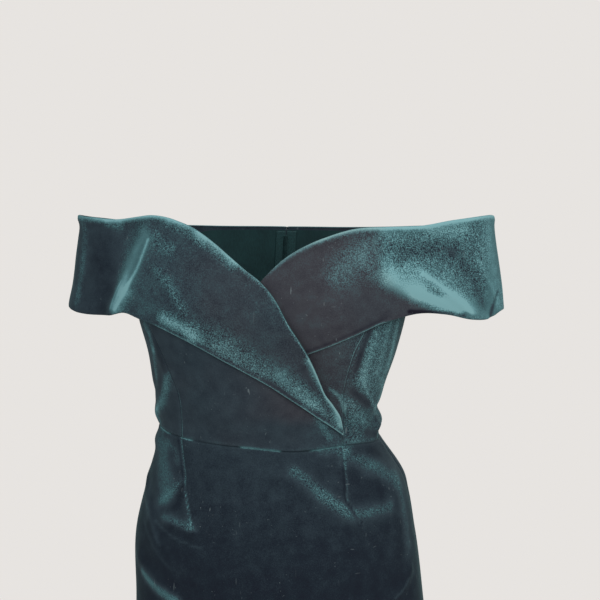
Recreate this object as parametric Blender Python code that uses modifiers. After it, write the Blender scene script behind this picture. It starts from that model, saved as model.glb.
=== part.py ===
"""Velvet sheath dress with a folded-over band worn off the shoulders.

The dress faces -Y and stands along +Z, and the wearer's left is +X. The origin lies midway between the
arms, level with the top of the band. Lengths are in metres.

Every piece of cloth is a patch laid on a form. A place on the form is a girth, the distance round from the
front centre (plus to the wearer's left), and a height. A patch is filled in between its four cut edges,
lifted off the form by the layers under it, and given its thickness by Solidify.
"""

import math
from collections import namedtuple

import bmesh
import bpy
import numpy as np
from mathutils import Matrix

# Driving sizes
CLOTH = 0.0012
BAND_CLOTH = 0.0022
SEAM = 0.0004
LAYER_GAP = 0.0009
HEM = -0.790

# Rows and columns of each piece's grid
BODICE_ROWS = 13
SKIRT_ROWS = 11
BAND_ROWS = 9
FRONT_RIGHT_COLUMNS = 24
FRONT_LEFT_COLUMNS = 20
SIDE_FRONT_COLUMNS = 7
BACK_COLUMNS = 12
SKIRT_FRONT_COLUMNS = 21
SKIRT_BACK_COLUMNS = 11
BAND_RIGHT_COLUMNS = 53
BAND_LEFT_COLUMNS = 49
NECK_POINTS = 60

Section = namedtuple("Section", "name height half_width front back shift")
SECTIONS = (
    Section("hem", HEM, 0.1450, 0.095, 0.101, 0.0000),
    Section("knee", -0.700, 0.1480, 0.097, 0.104, -0.0010),
    Section("thigh", -0.520, 0.1570, 0.103, 0.118, -0.0040),
    Section("hip", -0.400, 0.1513, 0.104, 0.121, -0.0082),
    Section("belly", -0.330, 0.1463, 0.103, 0.115, -0.0122),
    Section("high hip", -0.270, 0.1325, 0.096, 0.102, -0.0115),
    Section("waist", -0.222, 0.1130, 0.084, 0.084, -0.0195),
    Section("midriff", -0.180, 0.1185, 0.088, 0.089, -0.0190),
    Section("ribs", -0.140, 0.1273, 0.093, 0.094, -0.0148),
    Section("bust", -0.090, 0.1392, 0.099, 0.097, -0.0147),
    Section("neckline", 0.030, 0.1270, 0.085, 0.087, -0.0080),
)
ROUNDNESS = 2.25
LOWEST = HEM - 0.01
HIGHEST = 0.03
LEVEL = 0.0025
DIRECTIONS = np.linspace(-math.pi, math.pi, 541)
SLOPE_STEP = 0.004

# The bust cups: two soft rises of the front
CUP_SPACING = 0.090
CUP_HEIGHT = -0.100
CUP_DEPTH = 0.020
CUP_SPREAD = 0.046
CUP_TURN = 2.5

# The arms that the band passes round: two upright rounds, and how far out each reaches at each height
Arm = namedtuple("Arm", "height right_reach left_reach")
ARMS = (
    Arm(-0.150, 0.2290, 0.2235),
    Arm(-0.092, 0.2268, 0.2202),
    Arm(-0.075, 0.2229, 0.2182),
    Arm(-0.060, 0.2205, 0.2160),
    Arm(-0.044, 0.2185, 0.2135),
    Arm(-0.026, 0.2158, 0.2106),
    Arm(-0.014, 0.2141, 0.2090),
    Arm(0.000, 0.2155, 0.2080),
    Arm(0.030, 0.2160, 0.2080),
)
ARM_DEPTH = 0.006
ARM_RADIUS = 0.044
ARM_WIDENING = 0.04
ARM_WIDEST = 0.1
ARM_FULL = -0.108
ARM_GONE = -0.153
TAUTNESS = 170.0

# Cut edges: rows of a place on the form
Place = namedtuple("Place", "girth height")
SIDE_AT_WAIST = 0.160
BACK_AT_WAIST = 0.318
WAIST = (
    Place(-BACK_AT_WAIST, -0.2200),
    Place(-0.200, -0.2165),
    Place(-0.132, -0.2172),
    Place(-0.085, -0.2205),
    Place(0.000, -0.2252),
    Place(0.035, -0.2280),
    Place(0.087, -0.2252),
    Place(0.150, -0.2300),
    Place(0.200, -0.2295),
    Place(BACK_AT_WAIST, -0.2200),
)
PRINCESS_RIGHT = (
    Place(-0.0835, -0.222),
    Place(-0.0815, -0.205),
    Place(-0.0845, -0.172),
    Place(-0.0985, -0.145),
    Place(-0.1125, -0.119),
    Place(-0.1205, -0.107),
    Place(-0.1400, -0.050),
)
PRINCESS_LEFT = (
    Place(0.0870, -0.2252),
    Place(0.0885, -0.1900),
    Place(0.0865, -0.172),
    Place(0.0880, -0.148),
    Place(0.0960, -0.122),
    Place(0.1060, -0.106),
    Place(0.1400, -0.050),
)
BAND_RIGHT_TOP = (
    Place(-0.480, -0.0200),
    Place(-0.400, -0.0190),
    Place(-0.320, -0.0140),
    Place(-0.270, -0.0060),
    Place(-0.235, -0.0005),
    Place(-0.200, 0.0000),
    Place(-0.160, -0.0005),
    Place(-0.137, 0.0030),
    Place(-0.118, 0.0050),
    Place(-0.105, 0.0040),
    Place(-0.088, 0.0000),
    Place(-0.070, -0.0065),
    Place(-0.050, -0.0180),
    Place(-0.030, -0.0330),
    Place(-0.014, -0.0455),
    Place(0.002, -0.0570),
    Place(0.020, -0.0770),
    Place(0.029, -0.0920),
    Place(0.042, -0.1120),
    Place(0.0495, -0.1260),
    Place(0.0555, -0.1410),
    Place(0.064, -0.1620),
    Place(0.075, -0.1790),
    Place(0.0825, -0.1950),
    Place(0.0855, -0.2100),
)
BAND_RIGHT_LOW = (
    Place(-0.480, -0.1100),
    Place(-0.400, -0.1090),
    Place(-0.320, -0.1040),
    Place(-0.260, -0.0960),
    Place(-0.217, -0.0995),
    Place(-0.185, -0.0985),
    Place(-0.165, -0.0965),
    Place(-0.148, -0.0925),
    Place(-0.126, -0.0965),
    Place(-0.105, -0.1010),
    Place(-0.075, -0.1115),
    Place(-0.041, -0.1280),
    Place(-0.012, -0.1440),
    Place(0.022, -0.1635),
    Place(0.056, -0.1875),
    Place(0.072, -0.2005),
    Place(0.0855, -0.2130),
)
BAND_LEFT_TOP = (
    Place(-0.040, -0.1170),
    Place(-0.024, -0.0920),
    Place(-0.014, -0.0760),
    Place(0.001, -0.0555),
    Place(0.021, -0.0345),
    Place(0.043, -0.0205),
    Place(0.061, -0.0130),
    Place(0.085, -0.0060),
    Place(0.120, -0.0040),
    Place(0.155, -0.0035),
    Place(0.190, 0.0015),
    Place(0.235, 0.0040),
    Place(0.270, -0.0010),
    Place(0.310, -0.0090),
    Place(0.360, -0.0145),
    Place(0.440, -0.0190),
    Place(0.515, -0.0200),
)
BAND_LEFT_LOW = (
    Place(-0.040, -0.1580),
    Place(0.013, -0.1390),
    Place(0.048, -0.1250),
    Place(0.083, -0.1110),
    Place(0.1025, -0.1035),
    Place(0.119, -0.0970),
    Place(0.137, -0.0925),
    Place(0.161, -0.0885),
    Place(0.190, -0.0910),
    Place(0.220, -0.0980),
    Place(0.240, -0.0990),
    Place(0.258, -0.0940),
    Place(0.300, -0.0985),
    Place(0.360, -0.1045),
    Place(0.440, -0.1090),
    Place(0.515, -0.1100),
)
# Where the band leaves the bodice, the bodice's own edge turns down under the arm
ARMHOLE_RIGHT = (
    Place(-0.1400, -0.0500),
    Place(-0.1330, -0.0300),
    Place(-0.1240, -0.0100),
)
ARMHOLE_LEFT = (
    Place(0.1400, -0.0500),
    Place(0.1340, -0.0350),
    Place(0.1260, -0.0180),
)
UNDERARM = -0.0580
BACK_TOP = -0.0225
BACK_SLOPE = 0.55
SIDE_SHARE = 0.5
INSET = 0.0022

# The wrap: the wearer's right side lies over the wearer's left
WRAP_TIP = 0.0840
TIP_FOLD = 0.0015
UNDERLAP_END = -0.0350
BAND_LEFT_END = -0.0120
RIGHT_NECK_START = -0.1160
LEFT_NECK_END = 0.1180
RISE_START = -0.0800
RISE_END = -0.0300
RISE_HEIGHT = 0.0350
OVER_BODICE = CLOTH + LAYER_GAP
OVER_BAND = OVER_BODICE + BAND_CLOTH + LAYER_GAP

# The band's stretch round the back
BACK_STRETCH_START = 0.240
RIGHT_BACK_NOMINAL = 0.480
LEFT_BACK_NOMINAL = 0.515

# The largest folds. Each runs from one place to another, and rises (or, below 0, sinks) by its depth
Fold = namedtuple("Fold", "girth height end_girth end_height width depth")
FADE = 0.4
SLEEVE_FOLDS = (
    Fold(-0.121, -0.018, -0.158, -0.095, 0.0065, 0.0040),
    Fold(-0.142, -0.012, -0.176, -0.090, 0.0110, -0.0045),
    Fold(0.108, -0.048, 0.225, -0.093, 0.0110, 0.0035),
    Fold(0.178, -0.028, 0.240, -0.080, 0.0110, -0.0040),
    Fold(-0.330, -0.030, -0.290, -0.092, 0.0130, -0.0040),
    Fold(0.350, -0.025, 0.300, -0.090, 0.0120, -0.0035),
)
BODY_FOLDS = (
    Fold(-0.140, -0.2050, -0.190, -0.2010, 0.0065, 0.0034),
    Fold(-0.126, -0.2330, -0.195, -0.2350, 0.0065, 0.0034),
    Fold(0.148, -0.2150, 0.200, -0.2115, 0.0063, 0.0058),
    Fold(0.140, -0.2010, 0.190, -0.1970, 0.0050, -0.0020),
    Fold(0.020, -0.2500, 0.095, -0.2950, 0.0110, 0.0025),
    Fold(0.075, -0.2350, 0.140, -0.2720, 0.0100, 0.0025),
    Fold(-0.120, -0.2600, -0.150, -0.3100, 0.0120, 0.0022),
    Fold(-0.250, -0.2420, -0.200, -0.2650, 0.0110, 0.0025),
    Fold(0.280, -0.2440, 0.222, -0.2720, 0.0095, 0.0018),
)

# The zip at the centre back
SLIDER_HEIGHT = -0.0305
SLIDER_SIZE = (0.0060, 0.0024, 0.0100)
SLIDER_SOFTENING = 0.0003
EAR_SIZE = (0.0011, 0.0026, 0.0030)
EAR_SPREAD = 0.00235
EAR_RISE = 0.0008
PULL_HEIGHT = -0.0275
PULL_BARREL = 0.0009
PULL_BARREL_SIDES = 16
PULL_CLEARANCE = 0.0003
PULL_WIDTH = 0.0028
PULL_LENGTH = 0.0200
PULL_THICKNESS = 0.0012
PULL_END_WIDTH = 0.0066
PULL_SHOULDER = 0.8 * PULL_LENGTH
PULL_TIP = 0.3 * PULL_END_WIDTH

VELVET_COLOUR = (0.012, 0.058, 0.062, 1.0)
BAND_COLOUR = (0.018, 0.085, 0.088, 1.0)
ZIP_COLOUR = (0.030, 0.075, 0.080, 1.0)


def ease(share):
    """A soft step from 0 to 1."""
    share = np.clip(share, 0.0, 1.0)
    return share * share * (3.0 - 2.0 * share)


def smooth_rows(at, rows):
    """The rows' values at each height, on one smooth curve through the sections."""
    heights = rows[:, 0]
    values = rows[:, 1:]
    slopes = np.gradient(values, heights, axis=0)
    at = np.clip(at, heights[0], heights[-1])
    row = np.clip(np.searchsorted(heights, at, side="right") - 1, 0, len(heights) - 2)
    span = (heights[row + 1] - heights[row])[:, None]
    t = (at - heights[row])[:, None] / span
    start = values[row] * (1 + 2 * t) + slopes[row] * span * t
    end = values[row + 1] * (3 - 2 * t) - slopes[row + 1] * span * (1 - t)
    return start * (1 - t) ** 2 + end * t**2


def sections_at(heights):
    """Half width, front depth, back depth and sideways shift of the torso at each height."""
    return smooth_rows(heights, np.array([section[1:] for section in SECTIONS]))


def arm_reaches(heights):
    """How far out the cloth round each arm reaches at each height, on the right and on the left."""
    return smooth_rows(heights, np.array(ARMS)).T


def torso_outlines(heights):
    """The torso's outline at each height: a superellipse with the two cups raised on its front."""
    half_width, front, back, shift = sections_at(heights).T[:, :, None]
    depth = np.where(np.cos(DIRECTIONS) > 0, front, back)
    across = (np.abs(np.sin(DIRECTIONS)) / half_width) ** ROUNDNESS
    along = (np.abs(np.cos(DIRECTIONS)) / depth) ** ROUNDNESS
    radius = (across + along) ** (-1 / ROUNDNESS)
    x = radius * np.sin(DIRECTIONS)
    y = -radius * np.cos(DIRECTIONS)
    on_front = np.clip(CUP_TURN * np.cos(DIRECTIONS), 0, 1)
    rise = ((heights[:, None] - CUP_HEIGHT) / CUP_SPREAD) ** 2
    for side in (-1, 1):
        aside = ((x - side * CUP_SPACING) / CUP_SPREAD) ** 2
        y = y - on_front * CUP_DEPTH * np.exp(-(aside + rise) / 2)
    return np.stack([x + shift, y], axis=-1)


def taut_outlines(heights, round_arms):
    """The outline of cloth pulled taut round the torso, and round the arms too where round_arms is set.

    A taut outline reaches, in each direction, as far as the furthest thing inside it does. The reaches are
    blended softly, so the cloth leaves the torso for an arm on a curve and not at a corner.
    """
    facing = np.stack([np.sin(DIRECTIONS), -np.cos(DIRECTIONS)], axis=-1)
    torso = torso_outlines(heights)
    reaches = torso @ facing.T
    furthest = reaches.argmax(axis=1)[..., None]
    torso = np.take_along_axis(torso, furthest, axis=1)
    if not round_arms:
        return torso
    shapes = [torso]
    reach = [reaches.max(axis=1)]
    radius = ARM_RADIUS + ARM_WIDENING * np.clip(-heights, 0, ARM_WIDEST)
    for side, out in zip((-1, 1), arm_reaches(heights)):
        centre = np.stack([side * (out - radius), np.full(radius.shape, ARM_DEPTH)], axis=-1)
        arm = centre[:, None] + radius[:, None, None] * facing
        shapes.append(arm)
        reach.append((arm * facing).sum(axis=-1))
    reach = np.array(reach)
    most = reach.max(axis=0)
    shares = np.exp(TAUTNESS * (reach - most))
    total = shares.sum(axis=0)
    shares = shares / total
    blended = most + np.log(total) / TAUTNESS
    taut = sum(share[..., None] * shape for share, shape in zip(shares, shapes))
    taut = taut + (blended - (shares * reach).sum(axis=0))[..., None] * facing
    amount = ease((heights - ARM_GONE) / (ARM_FULL - ARM_GONE))[:, None, None]
    return torso + amount * (taut - torso)


def fold_lift(folds, girth, height):
    """The rise of the folds at each place: a soft ridge along each fold, fading past its ends."""
    total = np.zeros(np.shape(girth))
    for fold in folds:
        run = np.array([fold.end_girth - fold.girth, fold.end_height - fold.height])
        length = math.hypot(*run)
        run = run / length
        across = (girth - fold.girth) * -run[1] + (height - fold.height) * run[0]
        along = (girth - fold.girth) * run[0] + (height - fold.height) * run[1]
        past = np.maximum(np.maximum(-along, along - length), 0)
        total = total + fold.depth * np.exp(-(across**2 + FADE * past**2) / (2 * fold.width**2))
    return total


class Form:
    """A form's surface, tabled so that a girth and a height give a point."""

    SIDE_STEPS = 400

    def __init__(self, lowest, round_arms, folds):
        self.folds = folds
        self.heights = np.arange(lowest, HIGHEST + LEVEL, LEVEL)
        self.points = []
        self.half_girths = []
        outlines = taut_outlines(self.heights, round_arms)
        centres = sections_at(self.heights)[:, 3]
        front = np.abs(DIRECTIONS) < math.pi / 2
        for outline, centre in zip(outlines, centres):
            steps = np.linalg.norm(np.diff(outline, axis=0), axis=1)
            run = np.concatenate([[0.0], np.cumsum(steps)])
            middle = np.interp(centre, outline[front, 0], run[front])
            right = np.linspace(0, middle, self.SIDE_STEPS + 1)
            left = np.linspace(middle, run[-1], self.SIDE_STEPS + 1)[1:]
            at = np.concatenate([right, left])
            columns = [np.interp(at, run, outline[:, axis]) for axis in (0, 1)]
            self.points.append(np.stack(columns, axis=-1))
            self.half_girths.append((middle, run[-1] - middle))
        self.points = np.array(self.points)
        self.half_girths = np.array(self.half_girths)

    def half_girth(self, height, side):
        """The distance from the front centre round to the centre back, on the right (-1) or left (1)."""
        return np.interp(height, self.heights, self.half_girths[:, int(side > 0)])

    def point(self, girth, height):
        """The form's point at each girth and height."""
        half = np.where(girth < 0, self.half_girth(height, -1), self.half_girth(height, 1))
        column = np.clip(girth / half + 1, 0, 2) * self.SIDE_STEPS
        column = np.clip(column, 0, 2 * self.SIDE_STEPS - 0.001)
        level = np.clip((height - self.heights[0]) / LEVEL, 0, len(self.heights) - 1.001)
        i = column.astype(int)
        j = level.astype(int)
        u = (column - i)[..., None]
        v = (level - j)[..., None]
        low = self.points[j, i] * (1 - u) + self.points[j, i + 1] * u
        high = self.points[j + 1, i] * (1 - u) + self.points[j + 1, i + 1] * u
        return np.concatenate([low * (1 - v) + high * v, height[..., None]], axis=-1)

    def lifted(self, girth, height, lift):
        """The point moved straight out of the surface by the lift and by the folds there."""
        across = self.point(girth + SLOPE_STEP, height) - self.point(girth - SLOPE_STEP, height)
        up = self.point(girth, height + SLOPE_STEP) - self.point(girth, height - SLOPE_STEP)
        outward = np.cross(across, up)
        outward = outward / np.linalg.norm(outward, axis=-1, keepdims=True)
        lift = lift + fold_lift(self.folds, girth, height)
        return self.point(girth, height) + outward * lift[..., None]


TORSO = Form(LOWEST, round_arms=False, folds=BODY_FOLDS)
BELT = Form(ARM_GONE - 0.08, round_arms=True, folds=SLEEVE_FOLDS)


def curve(rows, at):
    """Height of an edge at each girth, on a smooth curve through its rows."""
    return smooth_rows(np.asarray(at, dtype=float), np.array(rows))[:, 0]


def seam_girth(rows, heights):
    """Girth of an upright seam at each height, on a smooth curve through its rows."""
    by_height = np.array([(row.height, row.girth) for row in rows])
    return smooth_rows(np.asarray(heights, dtype=float), by_height)[:, 0]


def waist_height(girths):
    """Height of the waist seam's middle."""
    return curve(WAIST, girths)


def spread(points, count):
    """Points spaced evenly along an edge."""
    points = np.array(points, dtype=float)
    run = np.concatenate([[0.0], np.cumsum(np.linalg.norm(np.diff(points, axis=0), axis=1))])
    at = np.linspace(0, run[-1], count)
    return np.stack([np.interp(at, run, points[:, k]) for k in (0, 1)], axis=-1)


def filled(bottom, top, first, last):
    """A grid of places inside four edges: each way's straight filling added, their shared part taken off."""
    s = np.linspace(0, 1, len(bottom))[None, :, None]
    t = np.linspace(0, 1, len(first))[:, None, None]
    upright = bottom[None] * (1 - t) + top[None] * t
    level = first[:, None] * (1 - s) + last[:, None] * s
    low = bottom[0] * (1 - s) + bottom[-1] * s
    high = top[0] * (1 - s) + top[-1] * s
    return upright + level - (low * (1 - t) + high * t)


def finish(name, colour, roughness, metallic, sheen):
    """A finish for one sub-part."""
    material = bpy.data.materials.new(name)
    material.use_nodes = True
    shader = material.node_tree.nodes["Principled BSDF"]
    shader.inputs["Base Color"].default_value = colour
    shader.inputs["Roughness"].default_value = roughness
    shader.inputs["Metallic"].default_value = metallic
    shader.inputs["Sheen Weight"].default_value = sheen
    return material


def place_object(name, mesh, material, collection):
    """One object of the dress."""
    thing = bpy.data.objects.new(name, mesh)
    mesh.materials.append(material)
    collection.objects.link(thing)
    return thing


def cloth(name, form, places, lift, thickness, material, collection):
    """A piece of cloth: the grid of places on the form, its inner face lifted and its wall outside that.

    The places run towards the wearer's left along a row, and upwards from row to row.
    """
    rows, columns = places.shape[:2]
    outer = form.lifted(places[..., 0], places[..., 1], lift + thickness)
    corner = np.arange(rows * columns).reshape(rows, columns)
    faces = np.stack([corner[:-1, :-1], corner[:-1, 1:], corner[1:, 1:], corner[1:, :-1]], axis=-1)
    mesh = bpy.data.meshes.new(name)
    mesh.from_pydata(outer.reshape(-1, 3).tolist(), [], faces.reshape(-1, 4).tolist())
    mesh.update()
    mesh.shade_smooth()
    piece = place_object(name, mesh, material, collection)
    wall = piece.modifiers.new("wall", "SOLIDIFY")
    wall.thickness = thickness
    wall.offset = -1.0
    wall.use_even_offset = True
    return piece


def wrap_lift(girth, height):
    """How far the wearer's right side is lifted off the form, to pass over what it covers.

    It starts at its princess seam with no lift. Over the wearer's left bodice it clears one layer at the
    waist seam, and higher up the bodice and the band.
    """
    across = ease((girth - RISE_START) / (RISE_END - RISE_START))
    above_waist = ease((height - curve(WAIST, girth.ravel()).reshape(girth.shape)) / RISE_HEIGHT)
    return across * (OVER_BODICE + (OVER_BAND - OVER_BODICE) * above_waist)


def inset_edge(rows, start, end):
    """A stretch of a band's top edge, brought in so that the bodice ends just inside the fold."""
    girths = np.linspace(start, end, NECK_POINTS)
    return np.stack([girths, curve(rows, girths) - INSET], axis=-1)


def upright_edge(rows, bottom, top, count):
    """A seam from one height to another, as places."""
    heights = np.linspace(bottom, top, count)
    return np.stack([seam_girth(rows, heights), heights], axis=-1)


def front_right(collection, material):
    """The wearer's right front, from its princess seam over to the point at the waist."""
    rows = BODICE_ROWS
    columns = FRONT_RIGHT_COLUMNS
    seam = PRINCESS_RIGHT[0].girth + SEAM / 2
    girths = np.linspace(seam, WRAP_TIP - TIP_FOLD, columns)
    bottom = np.stack([girths, waist_height(girths) + SEAM / 2], axis=-1)
    neck = inset_edge(BAND_RIGHT_TOP, RIGHT_NECK_START, WRAP_TIP - TIP_FOLD)
    top = spread(np.concatenate([np.array(ARMHOLE_RIGHT), neck]), columns)
    top[0, 0] += SEAM / 2
    first = upright_edge(PRINCESS_RIGHT, bottom[0, 1], top[0, 1], rows)
    first[:, 0] += SEAM / 2
    last = np.linspace(bottom[-1], top[-1], rows)
    places = filled(bottom, top, first, last)
    lift = wrap_lift(places[..., 0], places[..., 1])
    cloth("bodice_front_right", TORSO, places, lift, CLOTH, material, collection)


def front_left(collection, material):
    """The wearer's left front, whose far edge ends hidden under the right one."""
    rows = BODICE_ROWS
    columns = FRONT_LEFT_COLUMNS
    seam = PRINCESS_LEFT[0].girth - SEAM / 2
    girths = np.linspace(UNDERLAP_END, seam, columns)
    bottom = np.stack([girths, waist_height(girths) + SEAM / 2], axis=-1)
    neck = inset_edge(BAND_LEFT_TOP, UNDERLAP_END, LEFT_NECK_END)
    top = spread(np.concatenate([neck, np.array(ARMHOLE_LEFT)[::-1]]), columns)
    top[-1, 0] -= SEAM / 2
    first = np.linspace(bottom[0], top[0], rows)
    last = upright_edge(PRINCESS_LEFT, bottom[-1, 1], top[-1, 1], rows)
    last[:, 0] -= SEAM / 2
    places = filled(bottom, top, first, last)
    cloth("bodice_front_left", TORSO, places, np.zeros(places.shape[:2]), CLOTH, material, collection)


def side_seam(heights, side):
    """Places on the side seam."""
    girths = side * SIDE_SHARE * TORSO.half_girth(heights, side)
    return np.stack([girths, heights], axis=-1)


def centre_back(form, heights, side):
    """Places beside the centre back."""
    girths = side * (form.half_girth(heights, side) - SEAM / 2)
    return np.stack([girths, heights], axis=-1)


def side_at_waist(side):
    """Where the side seam crosses the waist seam."""
    height = waist_height([side * SIDE_AT_WAIST])[0]
    return Place(*side_seam(height, side))


def in_order(side, bottom, top, near, far):
    """The grid, from the wearer's right to left: near is the edge nearer the front centre."""
    if side > 0:
        return filled(bottom, top, near, far)
    return filled(bottom[::-1], top[::-1], far, near)


def waist_edge(start, end, count, offset):
    """Places along the waist seam, moved off its middle."""
    girths = np.linspace(start, end, count)
    return np.stack([girths, waist_height(girths) + offset], axis=-1)


def side_front(side, princess, collection, material):
    """The panel between a princess seam and the side seam, up to the armhole."""
    rows = BODICE_ROWS
    columns = SIDE_FRONT_COLUMNS
    seam = princess[0].girth + side * SEAM / 2
    waist = waist_height([princess[0].girth])[0]
    near = upright_edge(princess, waist + SEAM / 2, princess[-1].height, rows)
    near[:, 0] += side * SEAM / 2
    bottom = waist_edge(seam, side_at_waist(side).girth - side * SEAM / 2, columns, SEAM / 2)
    far = side_seam(np.linspace(bottom[-1, 1], UNDERARM, rows), side)
    far[:, 0] -= side * SEAM / 2
    bottom[-1] = far[0]
    top = np.linspace(near[-1], far[-1], columns)
    places = in_order(side, bottom, top, near, far)
    name = "bodice_side_front_" + ("left" if side > 0 else "right")
    cloth(name, TORSO, places, np.zeros(places.shape[:2]), CLOTH, material, collection)


def bodice_back(side, collection, material):
    """The back bodice, from the side seam to the zip."""
    rows = BODICE_ROWS
    columns = BACK_COLUMNS
    back_waist = waist_height([side * BACK_AT_WAIST])[0]
    near = side_seam(np.linspace(side_at_waist(side).height + SEAM / 2, UNDERARM, rows), side)
    near[:, 0] += side * SEAM / 2
    far = centre_back(TORSO, np.linspace(back_waist + SEAM / 2, BACK_TOP, rows), side)
    bottom = waist_edge(near[0, 0], far[0, 0], columns, SEAM / 2)
    near[0] = bottom[0]
    far[0] = bottom[-1]
    share = np.linspace(0, 1, columns)
    girths = near[-1, 0] * (1 - share) + far[-1, 0] * share
    heights = UNDERARM + (BACK_TOP - UNDERARM) * ease(share / BACK_SLOPE)
    top = np.stack([girths, heights], axis=-1)
    places = in_order(side, bottom, top, near, far)
    name = "bodice_back_" + ("left" if side > 0 else "right")
    cloth(name, TORSO, places, np.zeros(places.shape[:2]), CLOTH, material, collection)


def skirt_front(collection, material):
    """The skirt front, from side seam to side seam."""
    rows = SKIRT_ROWS
    columns = SKIRT_FRONT_COLUMNS
    right_waist = side_at_waist(-1).girth + SEAM / 2
    left_waist = side_at_waist(1).girth - SEAM / 2
    top = waist_edge(right_waist, left_waist, columns, -SEAM / 2)
    first = side_seam(np.linspace(HEM, top[0, 1], rows), -1)
    first[:, 0] += SEAM / 2
    last = side_seam(np.linspace(HEM, top[-1, 1], rows), 1)
    last[:, 0] -= SEAM / 2
    top[0] = first[-1]
    top[-1] = last[-1]
    bottom = np.linspace(first[0], last[0], columns)
    places = filled(bottom, top, first, last)
    cloth("skirt_front", TORSO, places, np.zeros(places.shape[:2]), CLOTH, material, collection)


def skirt_back(side, collection, material):
    """The skirt back, from the side seam to the centre back."""
    rows = SKIRT_ROWS
    columns = SKIRT_BACK_COLUMNS
    back_waist = waist_height([side * BACK_AT_WAIST])[0]
    near = side_seam(np.linspace(HEM, side_at_waist(side).height - SEAM / 2, rows), side)
    near[:, 0] += side * SEAM / 2
    far = centre_back(TORSO, np.linspace(HEM, back_waist - SEAM / 2, rows), side)
    top = waist_edge(near[-1, 0], far[-1, 0], columns, -SEAM / 2)
    near[-1] = top[0]
    far[-1] = top[-1]
    bottom = np.linspace(near[0], far[0], columns)
    places = in_order(side, bottom, top, near, far)
    name = "skirt_back_" + ("left" if side > 0 else "right")
    cloth(name, TORSO, places, np.zeros(places.shape[:2]), CLOTH, material, collection)


def to_centre_back(stations, heights, side, nominal):
    """Girths for stations along the band: past the arm they stretch, so that the last meets the back."""
    past = np.abs(stations) - BACK_STRETCH_START
    room = BELT.half_girth(heights, side) - SEAM / 2 - BACK_STRETCH_START
    stretched = side * (BACK_STRETCH_START + past * room / (nominal - BACK_STRETCH_START))
    return np.where(side * stations > BACK_STRETCH_START, stretched, stations)


def band(side, collection, material):
    """One side of the folded-over band: from its front end, round the arm, to the centre back."""
    if side > 0:
        top_rows, low_rows, columns = BAND_LEFT_TOP, BAND_LEFT_LOW, BAND_LEFT_COLUMNS
        end, nominal = BAND_LEFT_END, LEFT_BACK_NOMINAL
    else:
        top_rows, low_rows, columns = BAND_RIGHT_TOP, BAND_RIGHT_LOW, BAND_RIGHT_COLUMNS
        end, nominal = WRAP_TIP + TIP_FOLD, RIGHT_BACK_NOMINAL
    rows = BAND_ROWS
    stations = np.linspace(end, side * nominal, columns)
    if side < 0:
        stations = stations[::-1]
    low = curve(low_rows, stations)
    top = curve(top_rows, stations)
    share = np.linspace(0, 1, rows)[:, None]
    heights = low[None] * (1 - share) + top[None] * share
    girths = to_centre_back(np.broadcast_to(stations, heights.shape), heights, side, nominal)
    places = np.stack([girths, heights], axis=-1)
    lift = np.full(heights.shape, OVER_BODICE)
    if side < 0:
        lift = lift + wrap_lift(girths, heights)
    name = "band_" + ("left" if side > 0 else "right")
    cloth(name, BELT, places, lift, BAND_CLOTH, material, collection)


def back_surface(height):
    """The outer face of the band at the centre back."""
    point = BELT.point(np.array([BELT.half_girth(height, 1)]), np.array([height]))[0]
    return point[0], point[1] + OVER_BODICE + BAND_CLOTH


def block(name, size, centre, softening):
    """A box, its edges softened where a softening is given."""
    mesh = bpy.data.meshes.new(name)
    shape = bmesh.new()
    bmesh.ops.create_cube(shape, size=1.0, matrix=Matrix.LocRotScale(centre, None, size))
    if softening:
        bmesh.ops.bevel(shape, geom=shape.edges[:], offset=softening, segments=1, affect="EDGES")
    shape.to_mesh(mesh)
    shape.free()
    return mesh


def cutter_object(name, mesh, cutters):
    """A helper shape, kept out of the picture."""
    helper = bpy.data.objects.new(name, mesh)
    helper.hide_render = True
    helper.display_type = "WIRE"
    cutters.objects.link(helper)
    return helper


def join(piece, helper):
    """Unite a helper with a piece."""
    union = piece.modifiers.new(helper.name, "BOOLEAN")
    union.operation = "UNION"
    union.solver = "EXACT"
    union.object = helper


def zip_slider(collection, cutters, material):
    """The zip's slider on the centre back, with two ears for its pull."""
    x, low_face = back_surface(SLIDER_HEIGHT - SLIDER_SIZE[2] / 2)
    y = low_face + SEAM + SLIDER_SIZE[1] / 2
    body = block("zip_slider", SLIDER_SIZE, (x, y, SLIDER_HEIGHT), SLIDER_SOFTENING)
    slider = place_object("zip_slider", body, material, collection)
    for side in (-1, 1):
        centre = (x + side * EAR_SPREAD, y + SLIDER_SIZE[1] / 2 + EAR_RISE, PULL_HEIGHT)
        ear = block("slider_ear", EAR_SIZE, centre, softening=0)
        join(slider, cutter_object(f"slider_ear_{side + 1}", ear, cutters))


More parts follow.
